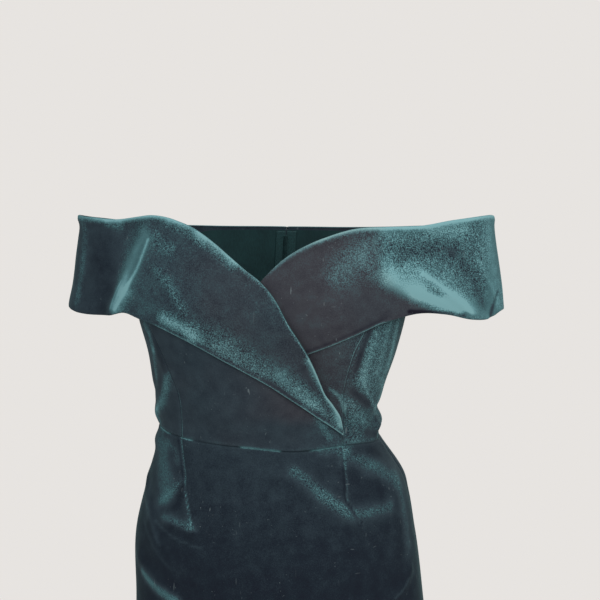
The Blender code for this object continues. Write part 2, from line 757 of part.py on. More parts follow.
def zip_pull(collection, cutters, material):
    """The pull, hung between the ears on its barrel. Its origin is on the barrel's axis."""
    x, low_face = back_surface(SLIDER_HEIGHT - SLIDER_SIZE[2] / 2)
    y = low_face + SEAM + SLIDER_SIZE[1] + PULL_BARREL + PULL_CLEARANCE
    mesh = bpy.data.meshes.new("zip_pull")
    shape = bmesh.new()
    turn = Matrix.Rotation(math.pi / 2, 4, "Y")
    bmesh.ops.create_cone(
        shape,
        cap_ends=True,
        segments=PULL_BARREL_SIDES,
        radius1=PULL_BARREL,
        radius2=PULL_BARREL,
        depth=PULL_WIDTH,
        matrix=turn,
    )
    shape.to_mesh(mesh)
    shape.free()
    pull = place_object("zip_pull", mesh, material, collection)
    pull.location = (x, y, PULL_HEIGHT)
    plate = bpy.data.meshes.new("pull_plate")
    half = PULL_THICKNESS / 2
    outline = [
        (-PULL_WIDTH / 2, 0.0),
        (PULL_WIDTH / 2, 0.0),
        (PULL_END_WIDTH / 2, -PULL_SHOULDER),
        (PULL_TIP, -PULL_LENGTH),
        (-PULL_TIP, -PULL_LENGTH),
        (-PULL_END_WIDTH / 2, -PULL_SHOULDER),
    ]
    shape = bmesh.new()
    face = shape.faces.new([shape.verts.new((px, -half, pz)) for px, pz in outline])
    grown = bmesh.ops.extrude_face_region(shape, geom=[face])
    moved = [item for item in grown["geom"] if isinstance(item, bmesh.types.BMVert)]
    bmesh.ops.translate(shape, vec=(0, PULL_THICKNESS, 0), verts=moved)
    bmesh.ops.recalc_face_normals(shape, faces=shape.faces[:])
    shape.to_mesh(plate)
    shape.free()
    helper = cutter_object("pull_plate", plate, cutters)
    helper.location = pull.location
    join(pull, helper)


def new_collection(name):
    """A collection in the scene."""
    collection = bpy.data.collections.new(name)
    bpy.context.scene.collection.children.link(collection)
    return collection


def main():
    for thing in list(bpy.data.objects):
        bpy.data.objects.remove(thing, do_unlink=True)
    dress = new_collection("velvet_sheath_dress")
    cutters = new_collection("cutters")
    body = finish("velvet_body", VELVET_COLOUR, roughness=0.85, metallic=0.0, sheen=0.8)
    fold = finish("velvet_band", BAND_COLOUR, roughness=0.85, metallic=0.0, sheen=0.8)
    metal = finish("zip_enamel", ZIP_COLOUR, roughness=0.35, metallic=0.6, sheen=0.0)
    front_right(dress, body)
    front_left(dress, body)
    side_front(-1, PRINCESS_RIGHT, dress, body)
    side_front(1, PRINCESS_LEFT, dress, body)
    skirt_front(dress, body)
    for side in (-1, 1):
        bodice_back(side, dress, body)
        skirt_back(side, dress, body)
        band(side, dress, fold)
    zip_slider(dress, cutters, metal)
    zip_pull(dress, cutters, metal)


main()
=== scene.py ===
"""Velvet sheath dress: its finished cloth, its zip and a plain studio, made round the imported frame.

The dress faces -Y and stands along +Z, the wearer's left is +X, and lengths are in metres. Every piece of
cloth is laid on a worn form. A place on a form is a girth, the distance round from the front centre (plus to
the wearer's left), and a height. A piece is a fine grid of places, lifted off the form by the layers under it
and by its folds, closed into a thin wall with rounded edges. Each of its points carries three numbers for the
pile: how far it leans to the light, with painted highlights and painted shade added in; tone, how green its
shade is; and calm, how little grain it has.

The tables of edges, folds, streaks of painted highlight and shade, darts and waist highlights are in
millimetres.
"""

import logging
import math
from dataclasses import dataclass, field
from enum import Enum
from typing import Callable, NamedTuple, Sequence

import bpy
import numpy as np
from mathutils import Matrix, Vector


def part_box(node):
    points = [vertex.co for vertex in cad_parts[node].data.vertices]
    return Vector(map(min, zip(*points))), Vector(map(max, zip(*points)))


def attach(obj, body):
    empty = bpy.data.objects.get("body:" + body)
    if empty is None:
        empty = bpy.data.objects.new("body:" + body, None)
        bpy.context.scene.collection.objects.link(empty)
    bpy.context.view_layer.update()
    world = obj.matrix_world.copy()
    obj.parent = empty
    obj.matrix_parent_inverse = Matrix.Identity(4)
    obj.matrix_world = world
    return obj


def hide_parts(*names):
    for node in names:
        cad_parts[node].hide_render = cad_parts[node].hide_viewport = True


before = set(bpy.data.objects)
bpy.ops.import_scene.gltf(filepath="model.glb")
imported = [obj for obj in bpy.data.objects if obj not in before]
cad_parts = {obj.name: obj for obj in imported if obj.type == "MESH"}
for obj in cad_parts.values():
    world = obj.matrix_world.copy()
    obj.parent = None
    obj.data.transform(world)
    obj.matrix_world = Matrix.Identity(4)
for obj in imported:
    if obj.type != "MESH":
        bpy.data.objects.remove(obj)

Array = np.ndarray
Colour = tuple[float, float, float]
Path = tuple[tuple[float, float], ...]
Finishes = tuple[bpy.types.Material, bpy.types.Material]
Faces = Array | list[list[int]]
Sizes = Callable[[Array], tuple[Array, Array]]

LOG = logging.getLogger("velvet_sheath_dress")
DRESS = "dress"
PULL = "pull"

# Cloth sizes, as in the frame
CLOTH = 0.0012
BAND_CLOTH = 0.0022
LAYER_GAP = 0.0009
HEM = -0.790
OVER_BODICE = CLOTH + LAYER_GAP
OVER_BAND = OVER_BODICE + BAND_CLOTH + LAYER_GAP
# The seams are drawn shut: this is half of what is left between two pieces
HALF_SEAM = 0.00001
# Girths, to either side, at which the waist seam meets the side seam and the centre back
SIDE_GIRTH = 0.16
BACK_GIRTH = 0.318
PER_METRE = 1000


class Side(Enum):
    """The wearer's right or left, as the sign of X."""

    RIGHT = -1
    LEFT = 1

    @property
    def word(self) -> str:
        """The side's name as it stands in piece names."""
        return self.name.lower()


class Section(NamedTuple):
    """The torso's size at one height."""

    height: float
    half_width: float
    front: float
    back: float
    shift: float


class Arm(NamedTuple):
    """How far out the cloth round each arm reaches at one height."""

    height: float
    right_reach: float
    left_reach: float


class Place(NamedTuple):
    """One point of a cut edge on the form."""

    girth: float
    height: float


class Fold(NamedTuple):
    """A ridge (depth above 0) or trough along a path, with its width to the path's right and left."""

    path: Path
    width: float
    width_left: float
    depth: float


class Stroke(NamedTuple):
    """A streak of painted highlight (last number above 0) or painted shade, partly the pile's leaning: its
    width to its right and left.
    """

    path: Path
    width: float
    width_left: float
    nap_and_shading: float


class WaistLight(NamedTuple):
    """A stretch of the waist seam, from one girth to another, with a painted highlight along its edge."""

    start: float
    end: float
    nap_and_shading: float


class Change(NamedTuple):
    """A soft step: the value that it starts at, and how far on it is whole (below 0 is backwards)."""

    start: float
    run: float

    def at(self, values: Array) -> Array:
        """How much of the step is done, from 0 to 1."""
        return ease((values - self.start) / self.run)


def places_of(*rows: tuple[float, float]) -> tuple[Place, ...]:
    """An edge's places, from girths and heights in millimetres."""
    return tuple(Place(girth / PER_METRE, height / PER_METRE) for girth, height in rows)


SECTIONS = (
    Section(HEM, 0.1450, 0.095, 0.101, 0.0000),
    Section(-0.700, 0.1480, 0.097, 0.104, -0.0010),
    Section(-0.520, 0.1570, 0.103, 0.118, -0.0040),
    Section(-0.400, 0.1513, 0.104, 0.121, -0.0082),
    Section(-0.330, 0.1463, 0.103, 0.115, -0.0122),
    Section(-0.270, 0.1325, 0.096, 0.102, -0.0115),
    Section(-0.222, 0.1130, 0.084, 0.084, -0.0195),
    Section(-0.180, 0.1185, 0.088, 0.089, -0.0190),
    Section(-0.140, 0.1273, 0.093, 0.094, -0.0148),
    Section(-0.090, 0.1392, 0.099, 0.097, -0.0147),
    Section(0.030, 0.1270, 0.085, 0.087, -0.0080),
)
ARMS = (
    Arm(-0.150, 0.2290, 0.2235),
    Arm(-0.092, 0.2268, 0.2202),
    Arm(-0.075, 0.2229, 0.2182),
    Arm(-0.060, 0.2205, 0.2160),
    Arm(-0.044, 0.2185, 0.2135),
    Arm(-0.026, 0.2158, 0.2106),
    Arm(-0.014, 0.2141, 0.2090),
    Arm(0.000, 0.2155, 0.2080),
    Arm(0.030, 0.2160, 0.2080),
)

WAIST = places_of(
    (-318, -220), (-200, -216.5), (-132, -217.2), (-85, -220.5), (0, -225.2), (35, -228),
    (87, -225.2), (150, -230), (200, -229.5), (318, -220),
)
PRINCESS_RIGHT = places_of(
    (-83.5, -222), (-81.5, -205), (-84.5, -172), (-98.5, -145), (-112.5, -119), (-120.5, -107),
    (-140, -50),
)
PRINCESS_LEFT = places_of(
    (87, -225.2), (88.5, -190), (86.5, -172), (88, -148), (96, -122), (106, -106), (140, -50)
)
BAND_RIGHT_TOP = places_of(
    (-480, -20), (-400, -19), (-320, -14), (-270, -6), (-235, -0.5), (-200, 0), (-160, -0.5),
    (-137, 3), (-118, 5), (-105, 4), (-88, 0), (-70, -6.5), (-50, -18), (-30, -33), (-14, -45.5),
    (2, -57), (20, -77), (29, -92), (42, -112), (49.5, -126), (55.5, -141), (64, -162), (75, -179),
    (82.5, -195), (85.5, -210),
)
BAND_RIGHT_LOW = places_of(
    (-480, -110), (-400, -109), (-320, -104), (-260, -96), (-217, -99.5), (-185, -98.5),
    (-165, -96.5), (-148, -92.5), (-126, -96.5), (-105, -101), (-75, -111.5), (-41, -128),
    (-12, -144), (22, -163.5), (56, -187.5), (72, -200.5), (85.5, -213),
)
BAND_LEFT_TOP = places_of(
    (-40, -117), (-24, -92), (-14, -76), (1, -55.5), (21, -34.5), (43, -20.5), (61, -13), (85, -6),
    (120, -4), (155, -3.5), (190, 1.5), (235, 4), (270, -1), (310, -9), (360, -14.5), (440, -19),
    (515, -20),
)
BAND_LEFT_LOW = places_of(
    (-40, -158), (13, -139), (48, -125), (83, -111), (102.5, -103.5), (119, -97), (137, -92.5),
    (161, -88.5), (190, -91), (220, -98), (240, -99), (258, -94), (300, -98.5), (360, -104.5),
    (440, -109), (515, -110),
)
ARMHOLE_RIGHT = places_of((-140, -50), (-133, -30), (-124, -10))
ARMHOLE_LEFT = places_of((140, -50), (134, -35), (126, -18))

# The folds of the band, on the form that passes round the arms
SLEEVE_FOLDS = (
    Fold(((-117, -14), (-129, -42), (-143, -65), (-163, -92)), 11, 4.8, 4.6),
    Fold(((-142, -12), (-160, -50), (-177, -94)), 11, 10, -4.5),
    Fold(((-108, -44), (-92, -60), (-76, -78), (-69, -96)), 6, 4, 1.2),
    Fold(((-95, -90), (-80, -98), (-62, -104)), 6, 6, 1),
    Fold(((108, -48), (150, -63), (192, -83), (225, -95)), 10, 12, 3.5),
    Fold(((162, -52), (179, -64), (197, -76), (216, -92)), 2.8, 4, 1.6),
    Fold(((178, -28), (208, -50), (238, -82)), 10, 11, -4),
    Fold(((233, -70), (240, -84), (245, -101)), 3, 3, -1.8),
    Fold(((120, -12), (135, -30), (160, -36)), 7, 7, -1),
    Fold(((-330, -30), (-312, -60), (-290, -92)), 13, 10, -4),
    Fold(((-360, -60), (-350, -80), (-330, -102)), 8, 5, 1.4),
    Fold(((350, -25), (330, -55), (300, -90)), 12, 10, -3.5),
    Fold(((385, -50), (375, -74), (350, -100)), 6, 8, 1.3),
)
# The folds of the bodice and the skirt
BODY_FOLDS = (
    Fold(((-140, -205), (-165, -202), (-190, -201)), 6.5, 6.5, 3.4),
    Fold(((-126, -233), (-160, -234), (-195, -235)), 7, 6, 3.4),
    Fold(((-98, -158), (-108, -178), (-122, -196)), 5, 4, 1),
    Fold(((-118, -150), (-134, -172), (-150, -184)), 6, 5, -1.2),
    Fold(((148, -215), (172, -212.5), (200, -211.5)), 6, 6.5, 5.8),
    Fold(((140, -201), (165, -198), (190, -197)), 5, 5, -2),
    Fold(((107, -162), (119, -177), (142, -198)), 5, 2.6, 1.2),
    Fold(((95, -180), (102, -200), (112, -214)), 5, 6, 1),
    Fold(((20, -248), (58, -268), (96, -296)), 9, 11, 2.8),
    Fold(((88, -230), (108, -243), (142, -268)), 8, 10, 2.8),
    Fold(((88, -270), (110, -266), (140, -272)), 8, 8, -1.6),
    Fold(((82, -290), (108, -289), (145, -289)), 7, 5, 1.6),
    Fold(((160, -240), (184, -247), (204, -274)), 6, 6, 0.8),
    Fold(((-104, -230), (-114, -256), (-122, -280)), 8, 8, 1.4),
    Fold(((-86, -258), (-100, -276), (-116, -293)), 4, 5.5, -1.6),
    Fold(((-108, -303), (-91, -307), (-74, -310)), 6, 3.5, 2),
    Fold(((-84, -271), (-79, -288), (-72, -310)), 2.6, 5, 1.4),
    Fold(((-160, -274), (-134, -299), (-119, -330)), 8, 4, 1.6),
    Fold(((-150, -352), (-129, -366), (-98, -385)), 8, 5.5, 2.4),
    Fold(((166, -360), (148, -376), (130, -385)), 6, 4, 1.8),
    Fold(((-250, -242), (-226, -252), (-200, -265)), 11, 9, 2.5),
    Fold(((280, -244), (252, -254), (222, -272)), 10, 9, 1.8),
    Fold(((-150, -470), (-100, -500), (-40, -510)), 12, 9, 2.2),
    Fold(((160, -450), (110, -490), (60, -505)), 11, 14, 2),
    Fold(((-80, -560), (-70, -650), (-85, -780)), 16, 20, 3),
    Fold(((70, -580), (60, -680), (74, -785)), 18, 14, 2.8),
    Fold(((10, -620), (4, -700), (-6, -785)), 20, 16, -2.4),
    Fold(((-330, -270), (-290, -300), (-250, -310)), 9, 11, 2.4),
    Fold(((340, -265), (300, -292), (262, -306)), 11, 8, 2.2),
    Fold(((-340, -190), (-300, -196), (-260, -194)), 6, 7, 2),
    Fold(((340, -186), (300, -194), (255, -192)), 7, 6, 2.2),
    Fold(((-300, -600), (-310, -690), (-300, -785)), 18, 15, 2.8),
    Fold(((300, -590), (312, -690), (306, -785)), 15, 18, 2.6),
)

# Painted highlights and shade on the band, partly the pile's leaning: how light each streak is
RIGHT_BAND_NAP_AND_SHADING = (
    Stroke(((-118, -20), (-122.5, -34), (-128, -48), (-136, -61), (-143, -71), (-150, -81),
            (-157, -90)), 0.9, 0.9, 0.42),
    Stroke(((-150, -62), (-159, -76), (-164, -90)), 0.9, 0.9, 0.22),
    Stroke(((-124, -16), (-133, -34), (-140, -50), (-147, -66)), 9, 6.2, 0.28),
    Stroke(((-141, -60), (-149, -72), (-158, -86)), 5.5, 4.5, 0.24),
    Stroke(((-147, -72), (-153, -80), (-158, -90)), 4, 8, 0.32),
    Stroke(((-133, -36), (-122, -55), (-118, -84)), 12, 12, 0.06),
    Stroke(((-117, -16), (-105, -23), (-94, -29)), 6, 5, 0.1),
    Stroke(((-180, -33), (-179, -58), (-179, -88)), 11, 11, -0.1),
    Stroke(((-211, -5), (-208, -25), (-212, -48), (-221, -88)), 4, 4, 0.12),
    Stroke(((-98, -1), (-81, -6), (-68, -12), (-57, -18)), 4, 2, 0.2),
    Stroke(((-64, -13), (-52, -21), (-42, -28), (-26, -40)), 3.6, 3, 0.32),
    Stroke(((-174, -4), (-166, -7), (-158, -6)), 3, 3, 0.2),
    Stroke(((-106, -48), (-98, -54), (-90, -59), (-86, -65), (-79, -73), (-72, -82)), 4.2, 3.2, 0.12),
    Stroke(((-93, -93), (-82, -97), (-72, -101), (-64, -106)), 5, 4.4, 0.46),
    Stroke(((-60, -108), (-52, -112), (-43, -117)), 6, 8, 0.1),
    Stroke(((-33, -122), (-13, -132), (3, -142)), 6, 9.5, 0.2),
    Stroke(((21, -147), (32, -156), (42, -164), (52, -174)), 4.2, 7.5, 0.28),
    Stroke(((52, -174), (62, -182), (72, -194), (78, -201)), 4.5, 5, 0.14),
    Stroke(((-56, -107), (-42, -111), (-25, -116)), 8, 8, 0.05),
    Stroke(((49, -128), (56, -145), (62, -155), (69, -169), (77, -184), (82, -200)), 2.4, 3, 0.36),
    Stroke(((44, -136), (52, -154), (64, -174), (71, -188)), 3, 2.2, -0.06),
    Stroke(((76, -186), (79, -195), (83, -205)), 3, 3, 0.16),
    Stroke(((-290, -30), (-280, -60), (-268, -85)), 10, 8, 0.24),
    Stroke(((-350, -60), (-342, -80), (-326, -98)), 5, 5, 0.3),
    Stroke(((-420, -35), (-440, -65), (-450, -95)), 16, 16, -0.08),
)
LEFT_BAND_NAP_AND_SHADING = (
    Stroke(((78, -47), (86, -37), (94, -30), (102, -23)), 9, 9, 0.18),
    Stroke(((118, -13), (121, -27), (124, -41), (127, -52)), 6, 6, 0.1),
    Stroke(((122, -57), (134, -62.5), (145, -67), (158, -72), (173, -76.5), (188, -81),
            (202, -86)), 4, 8, 0.35),
    Stroke(((154, -69), (173, -75), (188, -80.5), (203, -86.5)), 5, 7, 0.26),
    Stroke(((123, -48), (141, -54), (157, -59)), 6, 8, 0.12),
    Stroke(((146, -44), (160, -50)), 6, 6, 0.12),
    Stroke(((100, -40), (110, -50)), 6, 6, 0.1),
    Stroke(((160, -51), (178, -61), (192, -71), (206, -81), (217, -91)), 1.4, 3, 0.38),
    Stroke(((168, -66), (182, -72)), 1.8, 1.8, -0.28),
    Stroke(((122, -23), (135, -29), (156, -27), (173, -27), (188, -27)), 6.5, 6.5, -0.15),
    Stroke(((196, -32), (211, -46), (222, -58), (229, -72), (232, -84)), 6.5, 5.5, -0.15),
    Stroke(((186, -54), (199, -66), (210, -78)), 6, 5, 0.1),
    Stroke(((232, -3), (238, -32), (251, -62), (257, -84)), 7, 7, 0.14),
    Stroke(((221, -85), (228, -91), (236, -96)), 5, 5, 0.14),
    Stroke(((221, -38), (238, -58), (255, -80)), 1.2, 1.2, 0.12),
    Stroke(((150, -86), (164, -87), (178, -88), (195, -90), (208, -93)), 1.2, 1.4, -0.38),
    Stroke(((255, -74), (250, -84), (244, -96)), 1.4, 1.4, -0.3),
    Stroke(((165, -7), (182, -8), (200, -8)), 5, 5, 0.22),
    Stroke(((300, -25), (292, -55), (280, -88)), 12, 12, 0.16),
    Stroke(((365, -45), (352, -72), (338, -98)), 6, 6, 0.26),
    Stroke(((440, -35), (450, -75)), 20, 20, -0.12),
)
# Where the pile of the bands lies calm
BAND_CALM = (
    Stroke(((-118, -18), (-130, -46), (-144, -70), (-157, -90)), 10, 3.5, 0.8),
    Stroke(((-128, -36), (-120, -55), (-118, -84)), 18, 12, 0.45),
    Stroke(((-220, -50), (-180, -50)), 50, 50, 0.4),
    Stroke(((-40, -60), (-10, -95), (25, -135)), 13, 20, 0.5),
    Stroke(((130, -61), (160, -72), (192, -83), (212, -91)), 3.4, 5.6, 0.75),
    Stroke(((160, -51), (180, -64), (217, -91)), 1, 2, 0.6),
    Stroke(((240, 0), (243, -50), (246, -95)), 5, 14, 0.9),
    Stroke(((222, -86), (238, -96)), 8, 8, 0.8),
    Stroke(((52, -135), (62, -155), (77, -184), (83, -204)), 2.4, 4, 0.8),
)
# Where the wearer's left band turns light: past it the band is painted lighter and greener, partly the pile's
# leaning
LEFT_BAND_TURN = places_of(
    (164, -90), (156, -80), (140, -72), (126, -63), (114, -52), (108, -41), (106, -26), (103, -6),
    (100, 20),
)
# Painted highlights and shade on the bodice and the skirt, partly the pile's leaning
BODY_NAP_AND_SHADING = (
    Stroke(((-134, -104), (-125, -113), (-122, -130)), 3, 3, 0.24),
    Stroke(((-122, -130), (-124, -144), (-126, -163)), 3, 3, 0.2),
    Stroke(((-117, -110), (-114, -120), (-110, -130), (-107, -146)), 3, 3, -0.06),
    Stroke(((-100, -158), (-104, -172), (-114, -187), (-134, -201)), 3.5, 5, 0.28),
    Stroke(((-126, -193), (-138, -204), (-128, -212)), 3, 3, 0.22),
    Stroke(((59, -193), (66, -203), (72, -215)), 2.5, 3.2, 0.16),
    Stroke(((142, -101), (138, -117), (133, -134), (129, -151)), 6, 6, 0.22),
    Stroke(((163, -106), (158, -126), (153, -148)), 5, 5, 0.34),
    Stroke(((120, -110), (114, -124), (109, -139), (106, -156)), 5, 7, 0.26),
    Stroke(((141, -162), (158, -180), (150, -191)), 6, 6, 0.22),
    Stroke(((114, -103), (106, -118), (101, -130), (97, -144)), 2.2, 2.2, -0.16),
    Stroke(((97, -168), (107, -176), (121, -185)), 3.2, 3.2, -0.14),
    Stroke(((108, -161), (119, -176), (136, -193)), 1, 2.2, 0.22),
    Stroke(((108, -150), (116, -162), (130, -173)), 5, 5, 0.12),
    Stroke(((95, -182), (104, -194), (117, -204)), 5.5, 5.5, 0.14),
    Stroke(((94, -199), (100, -213), (108, -219)), 4, 4, 0.06),
    Stroke(((144, -195), (165, -209), (154, -218)), 3, 3, 0.1),
    Stroke(((121, -217), (140, -223)), 3, 3, -0.1),
    Stroke(((71, -163), (80, -171), (86, -181), (89, -190)), 0.9, 1.6, 0.3),
    Stroke(((85, -170), (88, -178), (90, -187)), 0.8, 0.8, 0.2),
    Stroke(((-114, -233), (-114, -250), (-108, -265), (-108, -285)), 13, 8, 0.21),
    Stroke(((-102, -230), (-92, -237), (-91, -246)), 4, 4, 0.1),
    Stroke(((-143, -275), (-142, -290), (-139, -304)), 4.5, 4.5, 0.1),
    Stroke(((-143, -366), (-132, -371), (-119, -377), (-105, -382), (-94, -386)), 4.8, 4.2, 0.44),
    Stroke(((-150, -294), (-134, -305), (-124, -318), (-115, -330)), 1.2, 2.5, 0.09),
    Stroke(((-146, -313), (-128, -329), (-114, -343), (-99, -354)), 1.8, 1.8, 0.06),
    Stroke(((-122, -308), (-106, -316), (-92, -321), (-80, -324), (-63, -327)), 0.9, 0.9, 0.09),
    Stroke(((-88, -263), (-97, -272), (-107, -280), (-117, -287)), 3, 3, 0.15),
    Stroke(((-111, -296), (-100, -290), (-90, -282), (-88, -272)), 4.5, 4.5, -0.11),
    Stroke(((-108, -303), (-96, -304), (-83, -307), (-75, -309)), 2.6, 5, 0.2),
    Stroke(((-83, -274), (-80, -288), (-75, -303)), 4, 0.8, 0.16),
    Stroke(((34, -247), (48, -259), (62, -271), (76, -282), (90, -291)), 5.5, 4.5, 0.18),
    Stroke(((58, -270), (70, -280), (82, -288)), 6, 3, 0.1),
    Stroke(((102, -291), (115, -290), (134, -290)), 5.5, 5.5, 0.19),
    Stroke(((92, -232), (104, -242), (118, -250), (134, -259), (148, -268)), 5.5, 7, 0.18),
    Stroke(((93, -260), (108, -267), (125, -274)), 8, 8, -0.05),
    Stroke(((98, -232), (113, -235), (130, -242)), 4, 4, -0.08),
    Stroke(((158, -269), (159, -289), (165, -314), (167, -340)), 7, 7, 0.15),
    Stroke(((160, -367), (148, -376), (136, -382)), 1.2, 1.2, 0.14),
    Stroke(((64, -230), (76, -230), (86, -228)), 3, 3, 0.1),
    Stroke(((83, -233), (85, -242)), 3, 3, 0.1),
    Stroke(((85, -280), (90, -289), (98, -299)), 0.9, 0.9, -0.25),
    Stroke(((-150, -474), (-100, -503), (-40, -512)), 6, 6, 0.2),
    Stroke(((160, -454), (110, -493), (60, -507)), 6, 6, 0.18),
    Stroke(((-70, -560), (-60, -650), (-74, -780)), 9, 9, 0.14),
    Stroke(((84, -590), (74, -680), (88, -785)), 9, 9, 0.14),
    Stroke(((-330, -273), (-290, -303), (-250, -313)), 6, 6, 0.2),
    Stroke(((340, -268), (300, -295), (262, -309)), 6, 6, 0.2),
    Stroke(((-340, -193), (-300, -199), (-260, -197)), 4, 4, 0.18),
    Stroke(((340, -189), (300, -197), (255, -195)), 4, 4, 0.18),
    Stroke(((-290, -600), (-300, -690), (-290, -785)), 9, 9, 0.14),
    Stroke(((290, -590), (300, -690), (294, -785)), 9, 9, 0.14),
)
DARTS = (
    ((86, -226), (86.2, -245), (85, -261), (84, -277), (90, -287), (97, -299)),
    ((-84, -222), (-83.2, -248), (-84, -266), (-81, -281), (-77, -296), (-72, -310)),
    ((-250, -220), (-251, -260), (-249, -330)),
    ((250, -222), (251, -262), (249, -330)),
)
WAIST_LIGHTS = (
    WaistLight(-133, -98, 0.4),
    WaistLight(-88, -66, 0.46),
    WaistLight(-20, 26, 0.58),
    WaistLight(50, 88, 0.4),
)


def ease(share: Array) -> Array:
    """A soft step from 0 to 1: three times the square less twice the cube."""
    share = np.clip(share, 0.0, 1.0)
    return share * share * (3.0 - 2.0 * share)


def hump(distance: Array, width: Array | float) -> Array:
    """A bell: one at no distance, and e to the minus half at one width."""
    return np.exp(-((distance / width) ** 2) / 2)


def smooth_rows(at: Array, rows: Array) -> Array:
    """Values on one smooth curve through a table's rows: a cubic between rows, with each row's mean slope.

    Args:
        at: where the values are wanted, in the unit of the first column.
        rows: the table, with its first column rising.

    Returns:
        The other columns' values at each place.
    """
    start = rows[:, 0]
    values = rows[:, 1:]
    slopes = np.gradient(values, start, axis=0)
    at = np.clip(at, start[0], start[-1])
    row = np.clip(np.searchsorted(start, at, side="right") - 1, 0, len(start) - 2)
    span = (start[row + 1] - start[row])[:, None]
    t = (at - start[row])[:, None] / span
    near = values[row] * (1 + 2 * t) + slopes[row] * span * t
    far = values[row + 1] * (3 - 2 * t) - slopes[row + 1] * span * (1 - t)
    return near * (1 - t) ** 2 + far * t**2


def curve(rows: Sequence[Place], girths: Array) -> Array:
    """Height of a cut edge at each girth, for any shape of grid."""
    girths = np.asarray(girths, dtype=float)
    return smooth_rows(girths.ravel(), np.array(rows))[:, 0].reshape(girths.shape)


def waist_height(girth: float) -> float:
    """The waist seam's height at one girth."""
    return float(curve(WAIST, np.array([girth]))[0])


def seam_girth(rows: Sequence[Place], heights: Array) -> Array:
    """Girth of an upright seam at each height."""
    by_height = np.array([(row.height, row.girth) for row in rows])
    return smooth_rows(np.asarray(heights, dtype=float), by_height)[:, 0]


def graded(start: float, end: float, count: int, fine_at: Sequence[float], fine: float = 0.004) -> Array:
    """Places from start to end, closer together round the named ones.

    The spacing is one over a density of 1 plus a bell round each named place, so the places are where the
    density's running sum passes equal steps.

    Args:
        start: the first place.
        end: the last place.
        count: how many places.
        fine_at: where they lie closer.
        fine: how far the closer spacing reaches.

    Returns:
        The places in order.
    """
    at = np.linspace(start, end, 4001)
    density = np.ones_like(at)
    for place in fine_at:
        density += 2.2 * hump(at - place, fine)
    total = np.concatenate([[0.0], np.cumsum((density[1:] + density[:-1]) / 2)])
    return np.interp(np.linspace(0, total[-1], count), total, at)


def between(start: Array | float, end: Array | float, count: int) -> Array:
    """Values from start to end, closer together at both ends: the share less 0.6 of one turn of a sine.

    Args:
        start: the first value, or several.
        end: the last one, or several.
        count: how many to give.

    Returns:
        The values, one a row.
    """
    share = np.linspace(0, 1, count)
    share = share - 0.6 * np.sin(2 * math.pi * share) / (2 * math.pi)
    share = share.reshape(-1, *([1] * np.ndim(start)))
    return start + (np.asarray(end) - start) * share


def spread(points: Array, count: int) -> Array:
    """Points spaced evenly along an edge.

    Args:
        points: the edge's points.
        count: how many to give.

    Returns:
        The new points.
    """
    run = np.concatenate([[0.0], np.cumsum(np.linalg.norm(np.diff(points, axis=0), axis=1))])
    at = np.linspace(0, run[-1], count)
    return np.stack([np.interp(at, run, points[:, k]) for k in (0, 1)], axis=-1)


def filled(bottom: Array, top: Array, first: Array, last: Array) -> Array:
    """A grid of places inside four edges: each way's straight filling added, their shared part taken off.

    Args:
        bottom: the low edge.
        top: the high edge.
        first: the edge at the wearer's right.
        last: the edge at the wearer's left.

    Returns:
        The grid.
    """
    s = np.linspace(0, 1, len(bottom))[None, :, None]
    t = np.linspace(0, 1, len(first))[:, None, None]
    upright = bottom[None] * (1 - t) + top[None] * t
    level = first[:, None] * (1 - s) + last[:, None] * s
    low = bottom[0] * (1 - s) + bottom[-1] * s
    high = top[0] * (1 - s) + top[-1] * s
    return upright + level - (low * (1 - t) + high * t)


def smooth_path(path: Path, count: int = 14) -> Array:
    """A path's points resampled on one smooth curve, by the length run so far, and put in metres.

    Args:
        path: the points to pass through.
        count: how many to give.

    Returns:
        The new points.
    """
    points = np.array(path, dtype=float) / PER_METRE
    run = np.concatenate([[0.0], np.cumsum(np.linalg.norm(np.diff(points, axis=0), axis=1))])
    return smooth_rows(np.linspace(0, run[-1], count), np.column_stack([run, points]))


def off_path(path: Path, places: Array) -> tuple[Array, Array]:
    """How far each place lies from a path, and on which side of it.

    Args:
        path: the path's own points.
        places: a grid of girths and heights.

    Returns:
        The distance to the nearest of the path's short stretches, and 1 to its right or -1 to its left.
    """
    points = smooth_path(path)
    best = np.full(places.shape[:2], np.inf)
    side = np.ones(places.shape[:2])
    for start, end in zip(points[:-1], points[1:]):
        run = end - start
        offset = places - start
        along = np.clip((offset @ run) / (run @ run), 0, 1)
        away = offset - along[..., None] * run
        distance = np.linalg.norm(away, axis=-1)
        nearer = distance < best
        best = np.where(nearer, distance, best)
        turn = run[0] * offset[..., 1] - run[1] * offset[..., 0]
        side = np.where(nearer, -np.sign(turn), side)
    return best, side


def bells(rows: Sequence[Fold | Stroke], places: Array) -> Array:
    """The sum of a bell across each row's path, with its own width on either side.

    Args:
        rows: folds or streaks, whose last number is the bell's height.
        places: a grid of girths and heights.

    Returns:
        The folds' rise in millimetres, or the streaks' painted highlight and shade.
    """
    total = np.zeros(places.shape[:2])
    for row in rows:
        distance, side = off_path(row.path, places)
        total += row[-1] * hump(distance * PER_METRE, np.where(side > 0, row.width, row.width_left))
    return total


